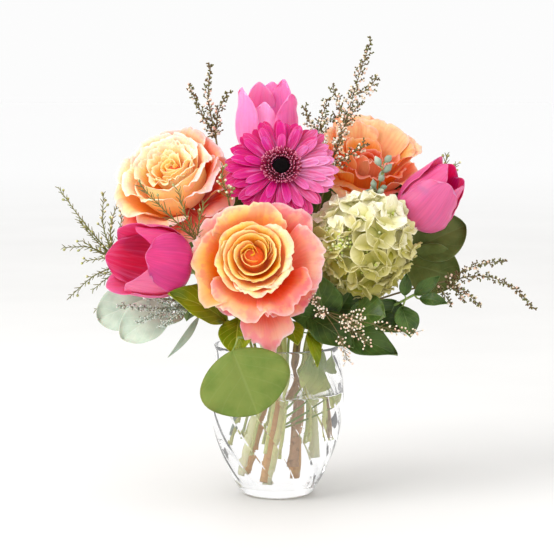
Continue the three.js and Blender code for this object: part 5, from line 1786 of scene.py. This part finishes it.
LEFT_PETALS = HEART + each(
    RosePetal,
    (60, 70, 11.4, 43, 8, 0.24, 1.5, 0, 1.2), (180, 70, 13, 42.5, 9, 0.28, 1.5, 0, 1.2),
    (300, 75, 13.6, 42, 9.5, 0.26, 1.5, 0, 1.1), (115, 62, 17, 44, 10, 0.34, 3, 0, 2.2),
    (20, 60, 17.5, 43.5, 10, 0.36, 3, 0, 2.2), (215, 62, 17.5, 42.5, 10, 0.34, 3, 0, 2.2),
    (270, 60, 18.5, 42.5, 11, 0.32, 3, 0, 2), (325, 60, 20, 42.5, 14, 0.38, 2.5, 0, 1.3),
    (85, 58, 22.5, 45, 13, 0.44, 4, 0, 2.2), (155, 58, 23.5, 44, 14, 0.46, 4, 0, 2.2),
    (30, 56, 24, 44, 16, 0.5, 4, 0, 1.4, 0.8), (275, 86, 24.5, 41, 25.5, 0.44, 2, 0.5, 0.8),
    (105, 54, 29.5, 46, 16, 0.56, 5, 0, 2.2, 0.82), (55, 52, 30.5, 46, 20, 0.6, 5, 0, 1.5, 0.84),
    (222, 58, 30, 37, 27.5, 0.5, 3, 1.5, 0.9), (350, 54, 31, 42, 22, 0.74, 6, 0, 1.6, 0.82),
    (165, 56, 33, 42, 22, 0.56, 6, 0.5, 1.3, 0.8), (96, 50, 37, 46, 22, 0.7, 5, 0, 1.5, 0.84),
    (140, 44, 39, 43, 24, 0.68, 6, 0, 1.4, 0.82), (190, 50, 42, 35, 27, 0.66, 7, 3, 1.2),
    (332, 46, 37, 34, 26, 0.95, 7, 1, 1.4, 0.8), (62, 42, 41, 44, 23, 0.8, 6, 0, 1.4),
    (20, 44, 41, 37, 25, 0.9, 6, 1, 1.4), (240, 42, 37, 22, 27, 0.8, 7, 4, 1.1),
    (205, 34, 46, 12, 26, 1, 9, 7, 1), (285, 40, 40, 8, 26, 0.97, 8, 8, 1), (335, 36, 42, 14, 26, 1, 8, 5, 1),
    (0, 36, 43, 22, 26, 0.95, 6, 3, 1.2), (140, 40, 45, 24, 26, 0.9, 4, 2, 1.2),
    (80, 40, 44, 26, 26, 0.9, 4, 1, 1.2),
)

RIGHT_PETALS = HEART + each(
    RosePetal,
    (60, 75, 12, 42.5, 9, 0.14, 1, 0, 1.2), (180, 75, 13, 42, 9.5, 0.18, 1, 0, 1.2),
    (300, 75, 14, 43, 10, 0.1, 1, 0, 1.2), (225, 44, 19, 48, 15, 0.12, 3, 0, 1.4, 0.82),
    (290, 50, 20, 46, 15, 0.1, 4, 1, 1.4), (350, 44, 22, 44, 16, 0.16, 3, 0, 1.3),
    (120, 70, 20, 42, 13, 0.36, 3, 0, 1.2), (190, 54, 26, 42, 19, 0.46, 4, 1, 1.3),
    (262, 44, 25, 36, 22, 0.1, 4, 1, 1.3), (322, 46, 28, 38, 20, 0.14, 4, 1, 1.4),
    (130, 52, 31, 46, 19, 0.74, 5, 0, 1.3), (20, 60, 32, 45, 20, 0.66, 5, 0, 1.2),
    (70, 56, 35, 48, 19, 0.7, 5, 0, 1.3), (165, 46, 36, 43, 23, 0.86, 6, 0, 1.4),
    (110, 44, 40, 47, 21, 0.9, 5, 0, 1.4), (30, 50, 38, 44, 22, 0.8, 6, 0, 1.2),
    (205, 44, 36, 34, 26, 0.4, 6, 2, 1.4), (345, 46, 37, 34, 26, 0.2, 6, 1, 1.2),
    (298, 50, 31, 27, 26, 0.06, 4, 3, 1), (236, 44, 33, 25, 27, 0.3, 5, 4, 1),
    (225, 40, 38, 15, 26, 0.8, 6, 5, 1), (310, 38, 38, 14, 26, 0.12, 6, 6, 1),
    (15, 38, 41, 24, 26, 0.95, 5, 2, 1.2), (150, 42, 40, 26, 26, 0.95, 5, 2, 1.2),
    (80, 40, 42, 28, 26, 0.95, 5, 1, 1.2),
)

ROSES = (
    Rose(
        "rose_front", Stand((-15, -47, 186), (-0.03, -0.94, 0.32)),
        Stem((-3, -13), 16, 2.5, ((-12, -24, 165),)), ROSE_PETAL, "rose_petal", FRONT_PETALS,
        heart=(-4, 5, 0),
    ),
    Rose(
        "rose_left", Stand((-74, 3, 232), (-0.32, -0.58, 0.75)),
        Stem((-9, 3), 22, 2.3, ((-34, 8, 180), (-60, 12, 212))), PALE_ROSE_PETAL, "rose_petal", LEFT_PETALS,
        heart=(4, 8, 0),
    ),
    Rose(
        "rose_right", Stand((69, 43, 243), (0.2, -0.4, 0.88)),
        Stem((9, 9), 18, 2.3, ((34, 30, 180), (60, 48, 216))), CORAL_PETAL, "rose_petal_coral", RIGHT_PETALS,
        heart=(0, -6, -8),
    ),
)

TULIPS = (
    Tulip(
        "tulip_top", Stand((-9, 32, 270), (0.02, -0.2, 0.98)),
        Stem((0, 8), 14, 2.5, ((-2, 20, 185), (-8, 34, 240))), PALE_TULIP_PETAL, 23,
        each(TulipPetal, (38, 64, 17, 19), (118, 61, 15, 20), (262, 50, 13, 14),
             (78, 60, 18, 19), (207, 61, 20, 23), (326, 57, 21, 20)),
    ),
    Tulip(
        "tulip_left", Stand((-72, -44, 188), (-0.78, -0.58, 0.22)),
        Stem((-13, -6), 20, 2.5, ((-34, -22, 158), (-54, -33, 176))), PINK_TULIP_PETAL, 26,
        each(TulipPetal, (12, 56, 22, 27), (132, 58, 25, 27), (252, 60, 26, 27),
             (72, 57, 23, 27), (192, 60, 27, 27), (312, 54, 23, 27)),
    ),
    Tulip(
        "tulip_right", Stand((105, -4, 219), (0.6, -0.27, 0.75)),
        Stem((17, 3), 34, 2.4, ((52, 16, 158), (84, 16, 196))), PINK_TULIP_PETAL, 21.5,
        each(TulipPetal, (92, 58, 13, 22), (212, 60, 9, 19), (335, 54, 13, 21),
             (150, 59, 13, 22), (274, 51, 13, 27), (34, 55, 12, 23)),
    ),
)

GERBERA = Gerbera(
    Stand((3, -26, 263), (0.03, -0.87, 0.49)), Stem((0, -4), 26, 2.1, ((1, -4, 190), (2, -13, 245))),
)

HYDRANGEA = Hydrangea(Stand((67, -31, 204), (0.35, -0.7, 0.6)), Stem((9, -5), 28, 3.1, ((32, -9, 160),)))

ROUND, OVAL, LONG = Shape

LEAFY = (
    LeafyStem("eucalyptus_front", Stem((-5, -22), 40, 1.25, ((-14, -58, 136), (-30, -74, 137))), OLIVE_LEAF, (
        Leaf((-34, -80, 128), (-15, -82, 79), 72, (0.05, -1, 0.1), ROUND, bend=0.04, cup=-0.03),
    )),
    LeafyStem("eucalyptus_left",
              Stem((-21, -2), 44, 1.25, ((-48, -12, 146), (-78, -26, 160), (-104, -32, 162))), PALE_LEAF, (
        Leaf((-104, -34, 161), (-141, -30, 146), 34, (0.1, -1, 0.3), ROUND),
        Leaf((-84, -36, 155), (-122, -44, 132), 34, (0.1, -0.9, 0.5), ROUND, 0.86),
        Leaf((-62, -30, 148), (-86, -42, 117), 6.5, (0.6, -0.8, 0.2), LONG, 0.72),
        Leaf((-74, -34, 150), (-86, -50, 143), 9, (0.1, -0.8, 0.6), OVAL, 0.78),
    )),
    LeafyStem("eucalyptus_right", Stem((21, 11), 46, 1.25, ((58, 28, 158), (92, 28, 180), (108, 20, 192))),
              DUSKY_LEAF, (
        Leaf((110, 19, 197), (153, 14, 217), 40, (0.1, -1, 0.2), ROUND),
        Leaf((104, 18, 186), (148, 8, 174), 42, (0.15, -1, 0.2), ROUND, 0.94),
    )),
    LeafyStem("eucalyptus_low_right", Stem((17, -13), 48, 1.25, ((42, -30, 142), (56, -38, 145))),
              DARK_LEAF, (
        Leaf((44, -38, 138), (94, -54, 120), 28, (0.1, -0.9, 0.5), OVAL, 0.94, wave=2.5),
        Leaf((58, -44, 150), (84, -64, 152), 32, (-0.1, -0.8, 0.6), ROUND),
        Leaf((66, -38, 144), (104, -44, 138), 22, (0.2, -0.7, 0.7), OVAL),
        Leaf((24, -38, 149), (60, -56, 126), 28, (0.1, -0.9, 0.4), OVAL, 0.7, wave=2.0),
        Leaf((38, -32, 146), (30, -48, 186), 34, (-0.1, -0.95, 0.2), OVAL, 0.85),
        Leaf((30, -34, 146), (8, -52, 152), 24, (-0.1, -0.9, 0.4), OVAL, 0.75),
        Leaf((46, -26, 146), (60, -34, 172), 40, (0, -1, 0.1), ROUND, 0.9),
    )),
    LeafyStem("salal_left", Stem((-12, -17), 38, 1.25, ((-32, -42, 142),)), BRIGHT_LEAF, (
        Leaf((-40, -50, 147), (-84, -76, 171), 30, (0.35, -0.75, 0.5), OVAL, 0.97, bend=0.12),
        Leaf((-30, -52, 148), (-32, -76, 122), 28, (-0.1, -0.9, 0.4), OVAL),
    )),
    LeafyStem("salal_right", Stem((3, -24), 36, 1.25, ((11, -44, 141),)), BRIGHT_LEAF, (
        Leaf((8, -50, 146), (16, -68, 130), 17, (0.2, -0.9, 0.3), OVAL),
        Leaf((24, -46, 137), (31, -62, 112), 12, (0.5, -0.8, 0.2), LONG),
        Leaf((25, -20, 84), (36, -20, 121), 13, (0.4, -0.9, 0), OVAL, height=68, cup=0.05, coat=1),
        Leaf((30, -6, 78), (45, -2, 118), 10, (0.3, -0.9, 0), LONG, height=62, coat=1),
        Leaf((32, 8, 70), (44, 10, 106), 10, (0.2, -0.9, 0), LONG, height=60, coat=1),
        Leaf((18, -28, 90), (27, -30, 120), 9, (0.2, -0.9, 0), LONG, height=74, coat=1),
    )),
    LeafyStem("pittosporum", Stem((24, -5), 50, 1.25, ((56, -14, 146), (90, -30, 156), (108, -36, 166))),
              DARK_LEAF, (
        Leaf((108, -36, 166), (128, -38, 181), 11, (0.2, -0.9, 0.3), LONG),
        Leaf((112, -40, 163), (133, -48, 160), 12, (0, -0.9, 0.6), LONG),
        Leaf((100, -40, 166), (101, -44, 184), 10, (0, -1, 0.1), LONG, 0.95),
        Leaf((94, -30, 160), (84, -36, 140), 32, (0.2, -0.9, 0.2), ROUND, 0.9),
        Leaf((98, -38, 156), (104, -52, 134), 20, (0.2, -0.9, 0.2), OVAL, 0.93),
    )),
    LeafyStem("eucalyptus_back", Stem((-2, 19), 42, 1.25, ((-14, 50, 160), (-22, 66, 190), (-26, 74, 224))),
              DUSKY_LEAF, (
        Leaf((-26, 75, 226), (-28, 78, 268), 38, (0, 1, 0.1), ROUND),
        Leaf((-30, 72, 210), (-66, 62, 226), 36, (-0.2, 1, 0.3), ROUND, 0.94),
        Leaf((-16, 74, 202), (18, 78, 222), 36, (0.1, 1, 0.2), ROUND, 0.9),
        Leaf((-26, 68, 182), (-58, 64, 160), 34, (-0.2, 1, 0.3), ROUND, 0.8),
        Leaf((-8, 66, 176), (22, 74, 156), 34, (0.2, 1, 0.3), ROUND, 0.78),
    )),
    LeafyStem("salal_back", Stem((9, 20), 44, 1.25, ((34, 56, 158), (50, 74, 184))), DARK_LEAF, (
        Leaf((52, 76, 188), (66, 86, 236), 34, (0.2, 1, 0.2), OVAL),
        Leaf((60, 72, 176), (100, 60, 188), 30, (0.4, 1, 0.3), OVAL, 0.96),
        Leaf((44, 72, 166), (52, 88, 134), 30, (0.2, 1, 0.4), OVAL, 0.9),
        Leaf((22, 22, 196), (38, 10, 252), 52, (0, -1, 0), ROUND, 0.4),
        Leaf((84, 26, 200), (104, 22, 250), 34, (0, -1, 0), ROUND, 0.6),
    )),
    LeafyStem("salal_back_left", Stem((-12, 14), 46, 1.25, ((-42, 44, 158), (-66, 54, 180))), DARK_LEAF, (
        Leaf((-68, 55, 184), (-104, 48, 216), 32, (-0.4, 1, 0.3), OVAL),
        Leaf((-72, 48, 174), (-116, 28, 170), 30, (-0.6, 0.5, 0.8), OVAL, 0.97),
        Leaf((-60, 54, 164), (-76, 64, 132), 28, (-0.3, 1, 0.3), OVAL, 0.9),
        Leaf((-32, 30, 196), (-36, 16, 250), 42, (0, -1, 0), ROUND, 0.4),
        Leaf((-40, 22, 172), (-60, 4, 196), 40, (0, -1, 0.2), ROUND, 0.4),
    )),
)

SPRAYS = (
    Spray("waxflower_front_left",
          Stem((-18, -12), 50, 0.95, ((-40, -28, 160), (-52, -38, 188), (-62, -54, 210))), Growth.NEEDLES, (
        (1, (-84, -66, 232), (-105, -66, 254)), (1, (-70, -64, 230), (-76, -64, 250)),
        (1, (-60, -64, 224), (-56, -64, 240)),
    ), seed=3, length=12.0, lean=1.5, buds=0.1),
    Spray("waxflower_far_left", Stem((-19, 7), 50, 0.95, ((-54, 14, 156), (-96, 8, 176), (-130, 2, 190))),
          Growth.NEEDLES, (
        (1, (-154, 4, 218), (-176, 6, 248)), (1, (-140, 8, 216), (-140, 10, 243)),
        (1, (-150, 0, 200), (-172, 0, 200)), (0.95, (-146, -4, 178), (-167, -6, 160)),
        (1, (-134, 4, 216), (-126, 6, 240)), (0.92, (-126, -2, 206), (-124, 0, 228)),
        (0.9, (-130, -6, 192), (-154, -8, 190)), (0.86, (-122, -6, 166), (-146, -8, 150)),
        (1, (-146, 2, 206), (-160, 4, 222)), (0.97, (-142, -2, 196), (-156, -4, 206)),
        (1, (-134, 0, 206), (-132, 2, 222)), (0.94, (-136, -4, 176), (-148, -6, 166)),
        (0.9, (-124, -6, 184), (-142, -8, 178)),
    ), seed=5, length=7.0, lean=1.2, buds=0.14),
    Spray("waxflower_middle", Stem((-6, -7), 46, 0.95, ((-22, -8, 176), (-34, -20, 218), (-38, -40, 242))),
          Growth.NEEDLES, (
        (1, (-42, -50, 256), (-42, -56, 268)), (1, (-34, -52, 250)),
    ), seed=8, length=7.0, lean=1.2, buds=0.5),
    Spray("waxflower_right", Stem((15, 17), 50, 0.95, ((52, 44, 164), (104, 44, 206), (132, 30, 246))),
          Growth.NEEDLES, (
        (1, (136, 26, 260), (138, 24, 274)), (1, (146, 24, 266)),
    ), seed=9, length=7.5, lean=1.6, buds=0.5),
    Spray("heather_top_left", Stem((-10, 9), 48, 0.95, ((-26, 30, 190), (-44, 40, 250), (-50, 38, 286))),
          Growth.HEATHER, (
        (1, (-62, 36, 308), (-72, 34, 330)), (1, (-56, 36, 320), (-54, 36, 346)),
        (1, (-48, 38, 308), (-40, 38, 324)),
    ), seed=11, length=7.0, buds=0.2),
    Spray("heather_tall", Stem((8, 3), 44, 0.95, ((22, 8, 180), (34, 2, 230), (40, -4, 262))),
          Growth.HEATHER, (
        (1, (52, 0, 290), (62, 4, 326), (75, 8, 365)), ((54, 1, 296), (50, 6, 314), (45, 8, 328)),
        ((61, 4, 322), (72, 6, 326), (80, 8, 336)), (1, (32, 2, 284), (22, 4, 312)),
        (1, (34, 2, 290), (40, 4, 318)), (1, (56, -14, 274), (70, -18, 284)),
        ((48, -1, 282), (56, 4, 300), (66, 6, 316)), ((33, 2, 282), (38, 4, 300), (48, 6, 304)),
    ), seed=12, length=10.0, buds=0.55),
    Spray("heather_right", Stem((24, 4), 48, 0.95, ((66, 8, 150), (104, -6, 166), (134, -12, 174))),
          Growth.HEATHER, (
        (1, (166, -10, 178), (190, -8, 168), (206, -6, 151)), (1, (156, -14, 186), (182, -10, 190)),
        (1, (150, -16, 166), (162, -12, 154)), (1, (140, -14, 170), (150, -14, 158)),
        (0.95, (132, -14, 166), (139, -14, 155)),
    ), seed=14, length=5.5, buds=0.2, twig=0.5),
    Spray("heather_low_right", Stem((9, -18), 52, 0.95, ((27, -38, 146), (36, -60, 156))), Growth.BERRIES, (
        (1, (74, -80, 148), (94, -76, 142), (108, -70, 141)), (1, (50, -77, 152), (64, -81, 156)),
        (1, (52, -78, 148), (64, -82, 149)), (1, (52, -78, 146), (64, -82, 140), (68, -82, 134)),
        (1, (36, -72, 157), (33, -80, 157)), (1, (32, -68, 162), (28, -66, 166)),
        (1, (48, -74, 138), (54, -76, 120)),
    ), seed=15, length=4.6, twig=0.4),
    Spray("seeded_eucalyptus", Stem((-24, -9), 52, 0.95, ((-50, -44, 148), (-66, -56, 160))), Growth.SEEDS, (
        (1, (-94, -60, 158), (-122, -56, 160)), (1, (-80, -64, 152), (-90, -64, 144)),
        (1, (-84, -60, 164), (-100, -60, 166)), (1, (-90, -60, 154), (-108, -60, 147)),
    ), seed=17, length=6.5, buds=0.1),
    Spray("eucalyptus_buds", Stem((14, -2), 46, 0.95, ((48, 18, 168), (76, 16, 212), (80, -8, 242))),
          Growth.PODS, (
        (1, (82, -22, 258), (84, -26, 270)), (1, (76, -26, 248)),
    ), seed=18, length=9.0, lean=1.2),
)


def main() -> None:
    """Builds the studio, the vase and the bouquet."""
    logging.basicConfig(level=logging.INFO, format="%(name)s: %(message)s")
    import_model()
    Studio().build()
    Vase().build()
    rose_stem, tulip_stem, leaf_stem = ROSE_STEM.make(), TULIP_STEM.make(), LEAF_STEM.make()
    dark_leaf = DARK_LEAF.make()
    for rose in ROSES:
        rose.bloom()
        rose.green(rose_stem, dark_leaf)
    for tulip in TULIPS:
        tulip.bloom()
        tulip.green(tulip_stem)
    GERBERA.rays()
    GERBERA.florets()
    GERBERA.centre()
    GERBERA.green()
    HYDRANGEA.bloom()
    HYDRANGEA.green()
    for leafy in LEAFY:
        leafy.build(leaf_stem)
    bark, needles, pale, pods = TWIG.make(), NEEDLES.make(), PALE_BUDS.make(), PODS.make()
    finishes = {
        Growth.NEEDLES: [needles, WAX_BUDS.make()], Growth.HEATHER: [bark, GREEN_BUDS.make(), pale],
        Growth.BERRIES: [bark, pale], Growth.PODS: [needles, pods], Growth.SEEDS: [PALE_SEEDS.make()] * 3,
    }
    for spray in SPRAYS:
        spray.build(finishes[spray.growth])


if __name__ == "__main__":
    main()
